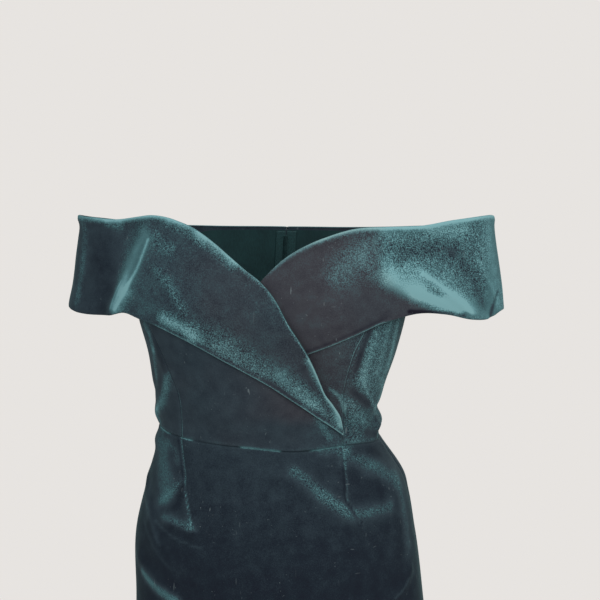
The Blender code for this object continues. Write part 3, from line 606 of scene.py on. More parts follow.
@dataclass(frozen=True)
class WornShape:
    """Sizes of what fills the dress out: the torso with two soft cups, and the two rounds of the arms."""

    roundness: float = 2.25
    cup_spacing: float = 0.090
    cup_height: float = -0.100
    cup_depth: float = 0.020
    cup_spread: float = 0.046
    arm_depth: float = 0.006
    arm_radius: float = 0.044
    arm_widening: float = 0.04
    arm_full: float = -0.108
    arm_gone: float = -0.153
    tautness: float = 170.0

    def directions(self) -> Array:
        """The directions that an outline is worked out in, all the way round from the centre back."""
        return np.linspace(-math.pi, math.pi, 541)

    def torso(self, heights: Array) -> Array:
        """The torso's outline at each height.

        Its radius in a direction is the sum of the powers of sine over half width and cosine over depth, to
        the power of minus one over the roundness. A bell round each cup's centre is then taken off Y.

        Args:
            heights: the heights wanted.

        Returns:
            Points by height and direction, X and Y.
        """
        turn = self.directions()
        rows = smooth_rows(heights, np.array(SECTIONS))
        half_width, front, back, shift = rows.T[:, :, None]
        depth = np.where(np.cos(turn) > 0, front, back)
        across = (np.abs(np.sin(turn)) / half_width) ** self.roundness
        along = (np.abs(np.cos(turn)) / depth) ** self.roundness
        radius = (across + along) ** (-1 / self.roundness)
        x = radius * np.sin(turn)
        y = -radius * np.cos(turn)
        on_front = np.clip(2.5 * np.cos(turn), 0, 1)
        rise = ((heights[:, None] - self.cup_height) / self.cup_spread) ** 2
        for side in (-1, 1):
            aside = ((x - side * self.cup_spacing) / self.cup_spread) ** 2
            y = y - on_front * self.cup_depth * np.exp(-(aside + rise) / 2)
        return np.stack([x + shift, y], axis=-1)

    def taut(self, heights: Array, round_arms: bool) -> Array:
        """The outline of cloth pulled taut round the torso, and round the arms where that is wanted.

        A taut outline reaches, in each direction, as far as the furthest thing inside it. The reaches of the
        torso and the arms are blended by the logarithm of the sum of their exponentials.

        Args:
            heights: the heights wanted.
            round_arms: whether the cloth passes round the arms too.

        Returns:
            Points by height and direction, X and Y.
        """
        turn = self.directions()
        facing = np.stack([np.sin(turn), -np.cos(turn)], axis=-1)
        torso = self.torso(heights)
        reaches = torso @ facing.T
        furthest = reaches.argmax(axis=1)[..., None]
        torso = np.take_along_axis(torso, furthest, axis=1)
        if not round_arms:
            return torso
        shapes = [torso]
        reach = [reaches.max(axis=1)]
        radius = self.arm_radius + self.arm_widening * np.clip(-heights, 0, 0.1)
        for side, out in zip(Side, smooth_rows(heights, np.array(ARMS)).T):
            centre = np.stack([side.value * (out - radius), np.full(radius.shape, self.arm_depth)], axis=-1)
            arm = centre[:, None] + radius[:, None, None] * facing
            shapes.append(arm)
            reach.append((arm * facing).sum(axis=-1))
        reaches = np.array(reach)
        most = reaches.max(axis=0)
        shares = np.exp(self.tautness * (reaches - most))
        total = shares.sum(axis=0)
        shares = shares / total
        blended = most + np.log(total) / self.tautness
        taut = sum(share[..., None] * shape for share, shape in zip(shares, shapes))
        taut = taut + (blended - (shares * reaches).sum(axis=0))[..., None] * facing
        amount = Change(self.arm_gone, self.arm_full - self.arm_gone).at(heights)[:, None, None]
        return torso + amount * (taut - torso)


class WornForm:
    """A form's surface, tabled so that a girth and a height give a point."""

    LEVEL = 0.0025
    SIDE_STEPS = 400
    HIGHEST = 0.03

    def __init__(self, shape: WornShape, lowest: float, round_arms: bool) -> None:
        """Tables the form.

        Args:
            shape: the sizes of what fills the dress.
            lowest: the form's lowest height.
            round_arms: whether the form passes round the arms.
        """
        self.heights = np.arange(lowest, self.HIGHEST + self.LEVEL, self.LEVEL)
        outlines = shape.taut(self.heights, round_arms)
        centres = smooth_rows(self.heights, np.array(SECTIONS))[:, 3]
        front = np.abs(shape.directions()) < math.pi / 2
        points = []
        half_girths = []
        for outline, centre in zip(outlines, centres):
            run = np.concatenate([[0.0], np.cumsum(np.linalg.norm(np.diff(outline, axis=0), axis=1))])
            middle = np.interp(centre, outline[front, 0], run[front])
            right = np.linspace(0, middle, self.SIDE_STEPS + 1)
            left = np.linspace(middle, run[-1], self.SIDE_STEPS + 1)[1:]
            at = np.concatenate([right, left])
            points.append(np.stack([np.interp(at, run, outline[:, axis]) for axis in (0, 1)], axis=-1))
            half_girths.append((middle, run[-1] - middle))
        self.points = np.array(points)
        self.half_girths = np.array(half_girths)

    def half_girth(self, heights: Array, side: Side) -> Array:
        """The distance from the front centre round to the centre back, on one side."""
        return np.interp(heights, self.heights, self.half_girths[:, int(side is Side.LEFT)])

    def point(self, girths: Array, heights: Array) -> Array:
        """The form's point at each girth and height: the table read straight across and by a cubic upwards.

        Args:
            girths: distances round from the front centre.
            heights: heights, in the same shape.

        Returns:
            Points with X, Y and Z in the last axis.
        """
        right = self.half_girth(heights, Side.RIGHT)
        left = self.half_girth(heights, Side.LEFT)
        column = np.clip(girths / np.where(girths < 0, right, left) + 1, 0, 2) * self.SIDE_STEPS
        column = np.clip(column, 0, 2 * self.SIDE_STEPS - 0.001)
        level = np.clip((heights - self.heights[0]) / self.LEVEL, 1, len(self.heights) - 2.001)
        i = column.astype(int)
        j = level.astype(int)
        u = (column - i)[..., None]
        v = (level - j)[..., None]
        rows = [self.points[j + k, i] * (1 - u) + self.points[j + k, i + 1] * u for k in (-1, 0, 1, 2)]
        lean_low = (rows[2] - rows[0]) / 2
        lean_high = (rows[3] - rows[1]) / 2
        low = rows[1] * (1 + 2 * v) + lean_low * v
        high = rows[2] * (3 - 2 * v) - lean_high * (1 - v)
        level_points = low * (1 - v) ** 2 + high * v**2
        return np.concatenate([level_points, heights[..., None]], axis=-1)

    def outward(self, girths: Array, heights: Array) -> Array:
        """The direction straight out of the form at each place, from its slopes over 4 mm each way.

        Args:
            girths: distances round from the front centre.
            heights: heights, in the same shape.

        Returns:
            Directions one long.
        """
        step = 0.004
        across = self.point(girths + step, heights) - self.point(girths - step, heights)
        up = self.point(girths, heights + step) - self.point(girths, heights - step)
        out = np.cross(across, up)
        return out / np.linalg.norm(out, axis=-1, keepdims=True)


class EdgeKind(Enum):
    """How a piece of cloth ends at one of its edges."""

    SEAM = "seam"
    ROLL = "roll"
    PRESSED = "pressed"
    LIT = "lit"
    HIDDEN = "hidden"


@dataclass(frozen=True)
class EdgeShape:
    """What an edge does to the cloth beside it: a dip at the edge, fullness behind it, and painted light.

    The painted light is a line of highlight or shade at the edge, painted shade or light behind it, and a
    painted highlight on the rim. Near the edge the pile is calm, with no grain.
    """

    dip: float = 0.0
    dip_reach: float = 1.0
    fullness: float = 0.0
    fullness_at: float = 0.0
    fullness_reach: float = 1.0
    nap_and_shading: float = 0.0
    edge_line_reach: float = 1.0
    shade: float = 0.0
    shade_at: float = 0.0
    shade_reach: float = 1.0
    calm_reach: float = 0.0001
    rim_shading: float = 0.0


# Painted highlight and shade at each kind of edge: light lines along rolled, pressed and lit edges, a faint
# dark line at seams, painted shade behind pressed edges, and rims painted bright where they turn away from
# the lights
EDGE_SHAPES = {
    EdgeKind.SEAM: EdgeShape(
        dip=0.0008, dip_reach=0.0016, nap_and_shading=-0.03, edge_line_reach=0.0006, shade=0.04, shade_at=0.0018,
        shade_reach=0.0010, calm_reach=0.0012, rim_shading=0.18,
    ),
    EdgeKind.ROLL: EdgeShape(
        dip=0.0003, dip_reach=0.0010, fullness=0.0012, fullness_at=0.0042, fullness_reach=0.0026, nap_and_shading=0.66,
        edge_line_reach=0.0024, calm_reach=0.0040, rim_shading=0.62,
    ),
    EdgeKind.PRESSED: EdgeShape(
        dip=0.0003, dip_reach=0.0010, nap_and_shading=0.52, edge_line_reach=0.0011, shade=-0.10, shade_at=0.0040,
        shade_reach=0.0016, calm_reach=0.0014, rim_shading=1.20,
    ),
    EdgeKind.LIT: EdgeShape(
        dip=0.0005, dip_reach=0.0010, nap_and_shading=0.52, edge_line_reach=0.0010, calm_reach=0.0014, rim_shading=0.90
    ),
    EdgeKind.HIDDEN: EdgeShape(),
}


@dataclass
class Edges:
    """The kinds of a piece's four edges: low, high, and those at the wearer's right and left."""

    low: EdgeKind
    high: EdgeKind
    right: EdgeKind
    left: EdgeKind

    def each(self) -> tuple[EdgeKind, EdgeKind, EdgeKind, EdgeKind]:
        """The four kinds, in the order low, left, high, right."""
        return self.low, self.left, self.high, self.right


def run_along(points: Array, axis: int) -> Array:
    """The length run along a grid's rows (axis 1) or columns (axis 0) up to each point.

    Args:
        points: the grid.
        axis: 1 for rows, 0 for columns.

    Returns:
        The lengths.
    """
    steps = np.linalg.norm(np.diff(points, axis=axis), axis=-1)
    start = np.zeros_like(np.take(steps, [0], axis=axis))
    return np.concatenate([start, np.cumsum(steps, axis=axis)], axis=axis)


def edge_distances(points: Array) -> tuple[Array, Array, Array, Array]:
    """How far each point lies from the low, left, high and right edge, along the grid.

    Args:
        points: the grid.

    Returns:
        A grid of distances for each edge.
    """
    across = run_along(points, 1)
    upward = run_along(points, 0)
    return upward, across[:, -1:] - across, upward[-1:] - upward, across


@dataclass
class ClothPiece:
    """One piece of cloth: a grid of places on a form, made into a thin closed wall with rounded edges."""

    name: str
    form: WornForm
    places: Array
    lift: Array
    thickness: float
    edges: Edges
    nap_and_shading: Array
    tone: Array
    folds: Sequence[Fold]
    fullness: Array | float = 1.0
    # The shares of painted highlight and shade along pressed edges, and of painted highlight along lit ones
    pressed: Array | float = 1.0
    lit: Array | float = 1.0
    calm: Array | float = 0.0
    extra_lift: Array | float = 0.0
    inner_nap: float = 0.22
    rim_steps: int = 3
    area: float = field(default=0.0, init=False)

    def share_of(self, kind: EdgeKind, size: tuple[int, int]) -> Array:
        """How much of an edge's look each point has: a roll's fullness and painted light, a pressed or lit
        edge's painted highlight and shade.
        """
        shares = {EdgeKind.ROLL: self.fullness, EdgeKind.PRESSED: self.pressed, EdgeKind.LIT: self.lit}
        return np.broadcast_to(shares.get(kind, 1.0), size)

    def faces_of_cloth(self) -> tuple[Array, Array, Array, Array]:
        """Works out the inner face, the outer face, and the pile's painted highlight and shade and its calm.

        The inner face is the form moved out by the lift and the folds, less each edge's dip. The outer face
        lies one thickness further out, plus the fullness behind each rolled edge.

        Returns:
            Inner points, outer points, painted highlight and shade with the pile's leaning, and calm.
        """
        girths = self.places[..., 0]
        heights = self.places[..., 1]
        base = self.form.point(girths, heights)
        out = self.form.outward(girths, heights)
        lift = self.lift + bells(self.folds, self.places) / PER_METRE + self.extra_lift
        full = np.zeros(lift.shape)
        nap_and_shading = np.array(self.nap_and_shading, dtype=float)
        calm = np.array(np.broadcast_to(self.calm, lift.shape), dtype=float)
        for kind, distance in zip(self.edges.each(), edge_distances(base)):
            shape = EDGE_SHAPES[kind]
            share = self.share_of(kind, lift.shape)
            lift = lift - shape.dip * hump(distance, shape.dip_reach)
            full = full + share * shape.fullness * hump(distance - shape.fullness_at, shape.fullness_reach)
            # Each edge's painted line of highlight or shade, and the painted shade or light behind it
            nap_and_shading = nap_and_shading + share * shape.nap_and_shading * hump(distance, shape.edge_line_reach)
            nap_and_shading = nap_and_shading + share * shape.shade * hump(distance - shape.shade_at, shape.shade_reach)
            calm = np.maximum(calm, share * hump(distance, shape.calm_reach))
        outer_lift = lift + self.thickness + full
        inner = base + out * lift[..., None]
        outer = base + out * outer_lift[..., None]
        return inner, outer, nap_and_shading, calm

    def drawn_in(self, inner: Array, outer: Array) -> tuple[Array, Array, Array]:
        """Moves the border of both faces in by half the wall, to leave room for the rounded rim.

        Args:
            inner: points of the inner face.
            outer: points of the outer face.

        Returns:
            The inner and outer faces, and the outward direction in the cloth at each border point.
        """
        half = np.linalg.norm(outer - inner, axis=-1, keepdims=True) / 2
        middle = (outer + inner) / 2
        aside = np.zeros_like(middle)
        for border, beside in (((0,), (1,)), ((-1,), (-2,))):
            away = middle[border[0]] - middle[beside[0]]
            aside[border[0]] += away / np.linalg.norm(away, axis=-1, keepdims=True)
            away = middle[:, border[0]] - middle[:, beside[0]]
            aside[:, border[0]] += away / np.linalg.norm(away, axis=-1, keepdims=True)
        length = np.maximum(np.linalg.norm(aside, axis=-1, keepdims=True), 1.0)
        return inner - aside * half, outer - aside * half, aside / length

    def rim_shading(self, rows: int, columns: int, loop: Array) -> Array:
        """The painted highlight and shade on the rim: each edge's own, and two fifths of what lies beside it.

        Args:
            rows: the grid's rows.
            columns: the grid's columns.
            loop: the border's point numbers.

        Returns:
            A number for each border point.
        """
        kinds = self.edges.each()
        counts = (columns - 1, rows - 1, columns - 1, rows - 1)
        own = np.repeat([EDGE_SHAPES[kind].rim_shading for kind in kinds], counts)
        shares = [self.share_of(kind, (rows, columns)).ravel()[loop] for kind in kinds]
        share = np.choose(np.repeat(range(4), counts), shares)
        beside = np.broadcast_to(self.nap_and_shading, (rows, columns)).ravel()[loop]
        return own * (0.2 + 0.8 * share) + 0.4 * beside

    def build(self) -> bpy.types.Object:
        """Makes the piece's mesh: two faces and a rim of half circles from one to the other.

        Returns:
            The object, with an attribute of painted highlight and shade with the pile's leaning, the
            attributes tone and calm, and the material index 1 on the inner face.
        """
        inner, outer, nap_and_shading, calm = self.faces_of_cloth()
        inner, outer, aside = self.drawn_in(inner, outer)
        rows, columns = outer.shape[:2]
        size = rows * columns
        index = np.arange(size).reshape(rows, columns)
        corners = (index[:-1, :-1], index[:-1, 1:], index[1:, 1:], index[1:, :-1])
        out_faces = np.stack(corners, axis=-1).reshape(-1, 4)
        in_faces = out_faces[:, ::-1] + size
        loop = np.concatenate([index[0, :-1], index[:-1, -1], index[-1, :0:-1], index[:0:-1, 0]])
        rim_points, rings = self.rim(inner, outer, aside, loop, 2 * size)
        rim_faces = []
        for near, far in zip(rings[:-1], rings[1:]):
            quads = (np.roll(near, -1), near, far, np.roll(far, -1))
            rim_faces.append(np.stack(quads, axis=-1))
        rim_faces = np.concatenate(rim_faces)
        points = np.concatenate([outer.reshape(-1, 3), inner.reshape(-1, 3), rim_points])
        faces = np.concatenate([out_faces, in_faces, rim_faces])
        rim_shading = np.tile(self.rim_shading(rows, columns, loop), self.rim_steps)
        # Painted highlight and shade: the outer face's, a fixed value inside, and the rim's
        nap_and_shading_values = np.concatenate([nap_and_shading.ravel(), np.full(size, self.inner_nap), rim_shading])
        tone = np.broadcast_to(self.tone, (rows, columns)).ravel()
        tones = np.concatenate([tone, tone, np.tile(tone[loop], self.rim_steps)])
        calms = np.concatenate([calm.ravel(), np.zeros(size), np.ones(len(rim_shading))])
        thing = mesh_object(self.name, points, faces)
        add_attribute(thing, "nap_and_shading", nap_and_shading_values)
        add_attribute(thing, "calm", calms)
        add_attribute(thing, "tone", tones)
        reverse = np.zeros(len(faces), dtype=np.int32)
        reverse[len(out_faces) : len(out_faces) + len(in_faces)] = 1
        thing.data.polygons.foreach_set("material_index", reverse)
        self.area = grid_area(outer)
        return thing

    def rim(
        self, inner: Array, outer: Array, aside: Array, loop: Array, first: int
    ) -> tuple[Array, list[Array]]:
        """The points of the rounded rim: middle, plus out by the cosine and aside by the sine of a half turn.

        Args:
            inner: points of the inner face.
            outer: points of the outer face.
            aside: outward direction in the cloth.
            loop: the border's point numbers, anticlockwise from outside.
            first: the number of the first new point.

        Returns:
            The new points, and the point numbers of each ring from the outer face to the inner one.
        """
        size = outer.shape[0] * outer.shape[1]
        top = outer.reshape(-1, 3)[loop]
        low = inner.reshape(-1, 3)[loop]
        away = aside.reshape(-1, 3)[loop]
        middle = (top + low) / 2
        half = (top - low) / 2
        reach = np.linalg.norm(half, axis=-1, keepdims=True)
        new = []
        rings = [loop]
        for step in range(1, self.rim_steps + 1):
            angle = math.pi * step / (self.rim_steps + 1)
            new.append(middle + half * math.cos(angle) + away * reach * math.sin(angle))
            rings.append(first + (step - 1) * len(loop) + np.arange(len(loop)))
        rings.append(loop + size)
        return np.concatenate(new), rings


def grid_area(points: Array) -> float:
    """The area of a grid of points: half the length of the cross product of each cell's diagonals.

    Args:
        points: the grid.

    Returns:
        The area.
    """
    one = points[1:, 1:] - points[:-1, :-1]
    other = points[1:, :-1] - points[:-1, 1:]
    return float(np.linalg.norm(np.cross(one, other), axis=-1).sum() / 2)


def mesh_object(name: str, points: Array, faces: Faces) -> bpy.types.Object:
    """An object in the scene with a smooth-shaded mesh.

    Args:
        name: the piece's name.
        points: its points.
        faces: point numbers, one face a row.

    Returns:
        The object.
    """
    mesh = bpy.data.meshes.new(name)
    mesh.from_pydata(points.tolist(), [], faces.tolist() if isinstance(faces, np.ndarray) else faces)
    mesh.update()
    mesh.shade_smooth()
    thing = bpy.data.objects.new(name, mesh)
    bpy.context.scene.collection.objects.link(thing)
    return thing


def add_attribute(thing: bpy.types.Object, name: str, values: Array) -> None:
    """Stores one number for each point of a mesh."""
    layer = thing.data.attributes.new(name, "FLOAT", "POINT")
    layer.data.foreach_set("value", np.asarray(values, dtype=np.float32))


class Nodes:
    """A short way to write a material's node tree."""

    def __init__(self, name: str) -> None:
        """Starts a material with a Principled shader.

        Args:
            name: the material's name.
        """
        self.material = bpy.data.materials.new(name)
        self.material.use_nodes = True
        self.tree = self.material.node_tree
        self.shader = self.tree.nodes["Principled BSDF"]
        coordinates = self.tree.nodes.new("ShaderNodeTexCoord")
        self.place = coordinates.outputs["Object"]

    def link(self, start: bpy.types.NodeSocket, end: bpy.types.NodeSocket) -> None:
        """Joins two sockets."""
        self.tree.links.new(start, end)

    def feed(self, socket: bpy.types.NodeSocket, value: object) -> None:
        """Links a socket, or sets it to a number or colour.

        Args:
            socket: a node's input.
            value: a socket, number or colour.
        """
        if isinstance(value, bpy.types.NodeSocket):
            self.link(value, socket)
        else:
            socket.default_value = value

    def attribute(self, name: str) -> bpy.types.NodeSocket:
        """The number stored on the mesh under a name.

        Args:
            name: the name.

        Returns:
            The number.
        """
        node = self.tree.nodes.new("ShaderNodeAttribute")
        node.attribute_name = name
        return node.outputs["Fac"]

    def math(self, operation: str, one: object, other: object = 0.0) -> bpy.types.NodeSocket:
        """The result of a sum on one or two numbers.

        Args:
            operation: the sum's kind.
            one: a number or socket.
            other: another.

        Returns:
            The result.
        """
        node = self.tree.nodes.new("ShaderNodeMath")
        node.operation = operation
        self.feed(node.inputs[0], one)
        self.feed(node.inputs[1], other)
        return node.outputs[0]

    def noise(self, scale: float, detail: float = 1.0, stretch: Colour = (1, 1, 1)) -> bpy.types.NodeSocket:
        """A noise pattern from 0 to 1, optionally stretched along an axis.

        Args:
            scale: its spots in a metre.
            detail: its finer layers.
            stretch: its scale along each axis.

        Returns:
            The pattern.
        """
        mapping = self.tree.nodes.new("ShaderNodeMapping")
        mapping.inputs["Scale"].default_value = stretch
        self.link(self.place, mapping.inputs["Vector"])
        node = self.tree.nodes.new("ShaderNodeTexNoise")
        node.inputs["Scale"].default_value = scale
        node.inputs["Detail"].default_value = detail
        self.link(mapping.outputs["Vector"], node.inputs["Vector"])
        return node.outputs["Fac"]

    def grain(self, scale: float, gain: float, detail: float = 1.0) -> bpy.types.NodeSocket:
        """A noise pattern centred on nought and scaled."""
        return self.math("MULTIPLY", self.math("SUBTRACT", self.noise(scale, detail), 0.5), gain)

    def step(self, value: object, low: float, high: float) -> bpy.types.NodeSocket:
        """A soft step from 0 at the low value to 1 at the high one.

        Args:
            value: what is stepped.
            low: where the step starts.
            high: where it ends.

        Returns:
            The step.
        """
        node = self.tree.nodes.new("ShaderNodeMapRange")
        node.interpolation_type = "SMOOTHSTEP"
        self.feed(node.inputs["Value"], value)
        node.inputs["From Min"].default_value = low
        node.inputs["From Max"].default_value = high
        return node.outputs["Result"]

    def ramp(self, value: bpy.types.NodeSocket, rows: Sequence[tuple[float, Colour]]) -> bpy.types.NodeSocket:
        """The colour that a table gives for a value, mixed between its rows.

        Args:
            value: where to read the table.
            rows: values and their colours.

        Returns:
            The colour.
        """
        node = self.tree.nodes.new("ShaderNodeValToRGB")
        stops = node.color_ramp.elements
        while len(stops) < len(rows):
            stops.new(0.5)
        for stop, (at, colour) in zip(stops, rows):
            stop.position = at
            stop.color = (*colour, 1.0)
        self.link(value, node.inputs["Fac"])
        return node.outputs["Color"]

    def mix(self, share: object, one: object, other: object) -> bpy.types.NodeSocket:
        """A mix of two colours.

        Args:
            share: the second colour's share.
            one: the first colour.
            other: the second one.

        Returns:
            The colour.
        """
        node = self.tree.nodes.new("ShaderNodeMix")
        node.data_type = "RGBA"
        self.feed(node.inputs[0], share)
        self.feed(node.inputs[6], one if isinstance(one, bpy.types.NodeSocket) else (*one, 1.0))
        self.feed(node.inputs[7], other if isinstance(other, bpy.types.NodeSocket) else (*other, 1.0))
        return node.outputs[2]

    def bump(self, height: bpy.types.NodeSocket, distance: float, strength: float) -> None:
        """Raises the surface's shading by a pattern.

        Args:
            height: the pattern.
            distance: how high it stands.
            strength: its share.
        """
        node = self.tree.nodes.new("ShaderNodeBump")
        node.inputs["Distance"].default_value = distance
        node.inputs["Strength"].default_value = strength
        self.link(height, node.inputs["Height"])
        self.link(node.outputs["Normal"], self.shader.inputs["Normal"])

    def paint(self, colour: bpy.types.NodeSocket) -> None:
        """Gives the shader its colour."""
        self.link(colour, self.shader.inputs["Base Color"])

    def set(self, **values: object) -> None:
        """Sets the shader's sockets, named with _ for spaces."""
        for name, value in values.items():
            self.shader.inputs[name.replace("_", " ")].default_value = value


@dataclass(frozen=True)
class Velvet:
    """Short silk-like pile, dark where it is looked into and bright where it lies towards the light. Here
    both come from a stored value that holds painted highlights and painted shade as well as the pile's
    leaning.

    Each ramp is a row of that value and the colour that the pile shows at it, up to the painted highlight's
    teal.
    """

    name: str
    charcoal: tuple[tuple[float, Colour], ...] = (
        (0.00, (0.0097, 0.0085, 0.0156)),
        (0.11, (0.0156, 0.0156, 0.0237)),
        (0.28, (0.0399, 0.0413, 0.0497)),
        (0.45, (0.0513, 0.0931, 0.1063)),
        (0.62, (0.0848, 0.1579, 0.1727)),
        (0.79, (0.1332, 0.2431, 0.2543)),
        (0.96, (0.2079, 0.3321, 0.3366)),
    )
    teal: tuple[tuple[float, Colour], ...] = (
        (0.00, (0.0073, 0.0091, 0.0164)),
        (0.11, (0.0104, 0.0164, 0.0247)),
        (0.28, (0.0279, 0.0440, 0.0560)),
        (0.45, (0.0420, 0.0960, 0.1080)),
        (0.62, (0.0696, 0.1580, 0.1727)),
        (0.75, (0.1041, 0.2286, 0.2505)),
        (0.915, (0.1638, 0.3233, 0.3455)),
    )
    grain_scale: float = 900.0
    sheen: float = 0.12
    sheen_roughness: float = 0.30
    sheen_tint: Colour = (0.42, 0.86, 0.82)
    lint_colour: Colour = (0.20, 0.25, 0.26)
    lint_share: float = 0.35

    def make(self) -> bpy.types.Material:
        """Builds the material.

        Two grains of noise are added to the stored value: painted highlights and painted shade with the
        pile's leaning. They are weak where it is wholly dark and where it is calm, and strong half way, so
        that the painted light breaks into dark there in single tufts. A broad noise clouds it a little all
        over. The sum picks the colour from the ramps, and the stored tone mixes these. The lint is pale
        flecks, and short fibres that are flecks drawn out along an axis.

        Returns:
            The material.
        """
        nodes = Nodes(self.name)
        # The stored painted highlights and shade, with the pile's leaning
        lean_and_shading = nodes.attribute("nap_and_shading")
        half_way = nodes.math("MULTIPLY", nodes.step(lean_and_shading, 0.22, 0.40), nodes.step(lean_and_shading, 1.15, 0.75))
        strength = nodes.math("ADD", 0.12, nodes.math("MULTIPLY", half_way, 0.80))
        rough = nodes.math("SUBTRACT", 1.0, nodes.math("MULTIPLY", nodes.attribute("calm"), 0.85))
        strength = nodes.math("MULTIPLY", strength, rough)
        grains = nodes.math("ADD", nodes.grain(self.grain_scale, 1.5, 0.5), nodes.grain(210.0, 0.32, 1.0))
        lean_and_shading = nodes.math("ADD", lean_and_shading, nodes.math("MULTIPLY", grains, strength))
        lean_and_shading = nodes.math("ADD", lean_and_shading, nodes.grain(75.0, 0.20, 3.0))
        tone = nodes.math("ADD", nodes.attribute("tone"), nodes.grain(18.0, 0.5, 2.0))
        greys, greens = nodes.ramp(lean_and_shading, self.charcoal), nodes.ramp(lean_and_shading, self.teal)
        pile = nodes.mix(nodes.step(tone, 0.1, 0.9), greys, greens)
        flecks = nodes.step(nodes.noise(520.0, 0.0), 0.80, 0.86)
        upright = nodes.step(nodes.noise(430.0, 0.0, (1.0, 1.0, 0.16)), 0.80, 0.86)
        level = nodes.step(nodes.noise(430.0, 0.0, (0.2, 0.2, 1.0)), 0.84, 0.90)
        lint = nodes.math("MAXIMUM", flecks, nodes.math("MAXIMUM", upright, level))
        lint = nodes.math("MULTIPLY", lint, nodes.step(nodes.noise(23.0, 2.0), 0.45, 0.65))
        pile = nodes.mix(nodes.math("MULTIPLY", lint, self.lint_share), pile, self.lint_colour)
        nodes.paint(pile)
        nodes.bump(nodes.noise(1300.0, 2.0), 0.0004, 0.30)
        nodes.set(Roughness=0.80, Specular_IOR_Level=0.08)
        nodes.set(Sheen_Weight=self.sheen, Sheen_Roughness=self.sheen_roughness)
        nodes.set(Sheen_Tint=(*self.sheen_tint, 1.0))
        return nodes.material


@dataclass(frozen=True)
class VelvetReverse:
    """The smooth knitted back of the velvet, on the inside of the dress."""

    name: str = "velvet_reverse"
    colour: Colour = (0.010, 0.040, 0.043)
    dark: Colour = (0.006, 0.024, 0.027)

    def make(self) -> bpy.types.Material:
        """Builds the material: fine upright wales and a faint cloudiness.

        Returns:
            The material.
        """
        nodes = Nodes(self.name)
        wales = nodes.noise(900.0, 1.0, (1.0, 1.0, 0.25))
        cloud = nodes.math("ADD", nodes.noise(30.0, 2.0), nodes.math("MULTIPLY", wales, 0.6))
        nodes.paint(nodes.mix(nodes.step(cloud, 0.5, 1.1), self.dark, self.colour))
        nodes.bump(wales, 0.0002, 0.4)
        nodes.set(Roughness=0.85, Specular_IOR_Level=0.2, Sheen_Weight=0.15, Sheen_Roughness=0.5)
        return nodes.material


@dataclass(frozen=True)
class DyedMetal:
    """The zip's painted metal, rubbed a little brighter in places."""

    name: str = "zip_enamel"
    colour: Colour = (0.010, 0.070, 0.072)
    rubbed: Colour = (0.040, 0.130, 0.130)

    def make(self) -> bpy.types.Material:
        """Builds the material.

        Returns:
            The material.
        """
        nodes = Nodes(self.name)
        wear = nodes.noise(420.0, 3.0)
        nodes.paint(nodes.mix(nodes.step(wear, 0.45, 0.75), self.colour, self.rubbed))
        roughness = nodes.math("ADD", 0.22, nodes.math("MULTIPLY", wear, 0.25))
        nodes.link(roughness, nodes.shader.inputs["Roughness"])
        nodes.set(Metallic=0.35, Specular_IOR_Level=0.6)
        return nodes.material


@dataclass(frozen=True)
class ZipTapeWeave:
    """The zip's flat woven tape and its coil."""

    name: str = "zip_tape_weave"
    colour: Colour = (0.012, 0.050, 0.053)
    dark: Colour = (0.006, 0.026, 0.029)

    def make(self) -> bpy.types.Material:
        """Builds the material: a fine twill.

        Returns:
            The material.
        """
        nodes = Nodes(self.name)
        twill = nodes.noise(1400.0, 1.0, (1.0, 1.0, 0.5))
        nodes.paint(nodes.mix(nodes.step(twill, 0.35, 0.65), self.dark, self.colour))
        nodes.bump(twill, 0.0002, 0.5)
        nodes.set(Roughness=0.7, Specular_IOR_Level=0.3)
        return nodes.material


@dataclass(frozen=True)
class StudioPaint:
    """The pale floor."""

    name: str = "studio_paint"
    colour: Colour = (0.80, 0.785, 0.765)

    def make(self) -> bpy.types.Material:
        """Builds the material.

        Returns:
            The material.
        """
        nodes = Nodes(self.name)
        cloud = nodes.step(nodes.noise(1.5, 2.0), 0.3, 0.7)
        soft = tuple(channel * 0.97 for channel in self.colour)
        nodes.paint(nodes.mix(cloud, soft, self.colour))
        nodes.set(Roughness=0.9, Specular_IOR_Level=0.1)
        return nodes.material


def dress_cloth(thing: bpy.types.Object, outer: bpy.types.Material, inner: bpy.types.Material) -> None:
    """Gives a cloth piece its two finishes without losing which face is which.

    Args:
        thing: the piece.
        outer: the finish of its outer face.
        inner: the finish of its inner face.
    """
    sides = np.empty(len(thing.data.polygons), dtype=np.int32)
    thing.data.polygons.foreach_get("material_index", sides)
    thing.data.materials.append(outer)
    thing.data.materials.append(inner)
    thing.data.polygons.foreach_set("material_index", sides)


def join_frame(thing: bpy.types.Object, body: str, nodes: Sequence[str] = ()) -> None:
    """Ties a piece to its body of the frame and the nodes that it stands for.

    Args:
        thing: the piece.
        body: the body that it rides on.
        nodes: the nodes that it stands for.
    """
    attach(thing, body)
    if nodes:
        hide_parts(*nodes)


def wrap_lift(places: Array) -> Array:
    """How far the wearer's right side is lifted off the form, to pass over what it covers.

    The lift starts at nothing 80 mm to the right of the front centre. Over the left bodice it clears one
    layer at the waist seam, and higher up the bodice and the band.

    Args:
        places: girths and heights.

    Returns:
        The lift at each place.
    """
    across = Change(-0.080, 0.050).at(places[..., 0])
    above_waist = Change(0.0, 0.035).at(places[..., 1] - curve(WAIST, places[..., 0]))
    return across * (OVER_BODICE + (OVER_BAND - OVER_BODICE) * above_waist)


def waist_lights(places: Array) -> Array:
    """A painted highlight just under the waist seam, along its edge.

    Args:
        places: girths and heights.

    Returns:
        The painted highlight at each place.
    """
    width, fade = 0.0006, 0.006
    girths = places[..., 0]
    nap_and_shading = np.zeros(girths.shape)
    beside = hump(places[..., 1] - curve(WAIST, girths) + width, width)
    for light in WAIST_LIGHTS:
        begun = Change(light.start / PER_METRE, fade).at(girths)
        nap_and_shading += light.nap_and_shading * begun * Change(light.end / PER_METRE, -fade).at(girths) * beside
    return nap_and_shading


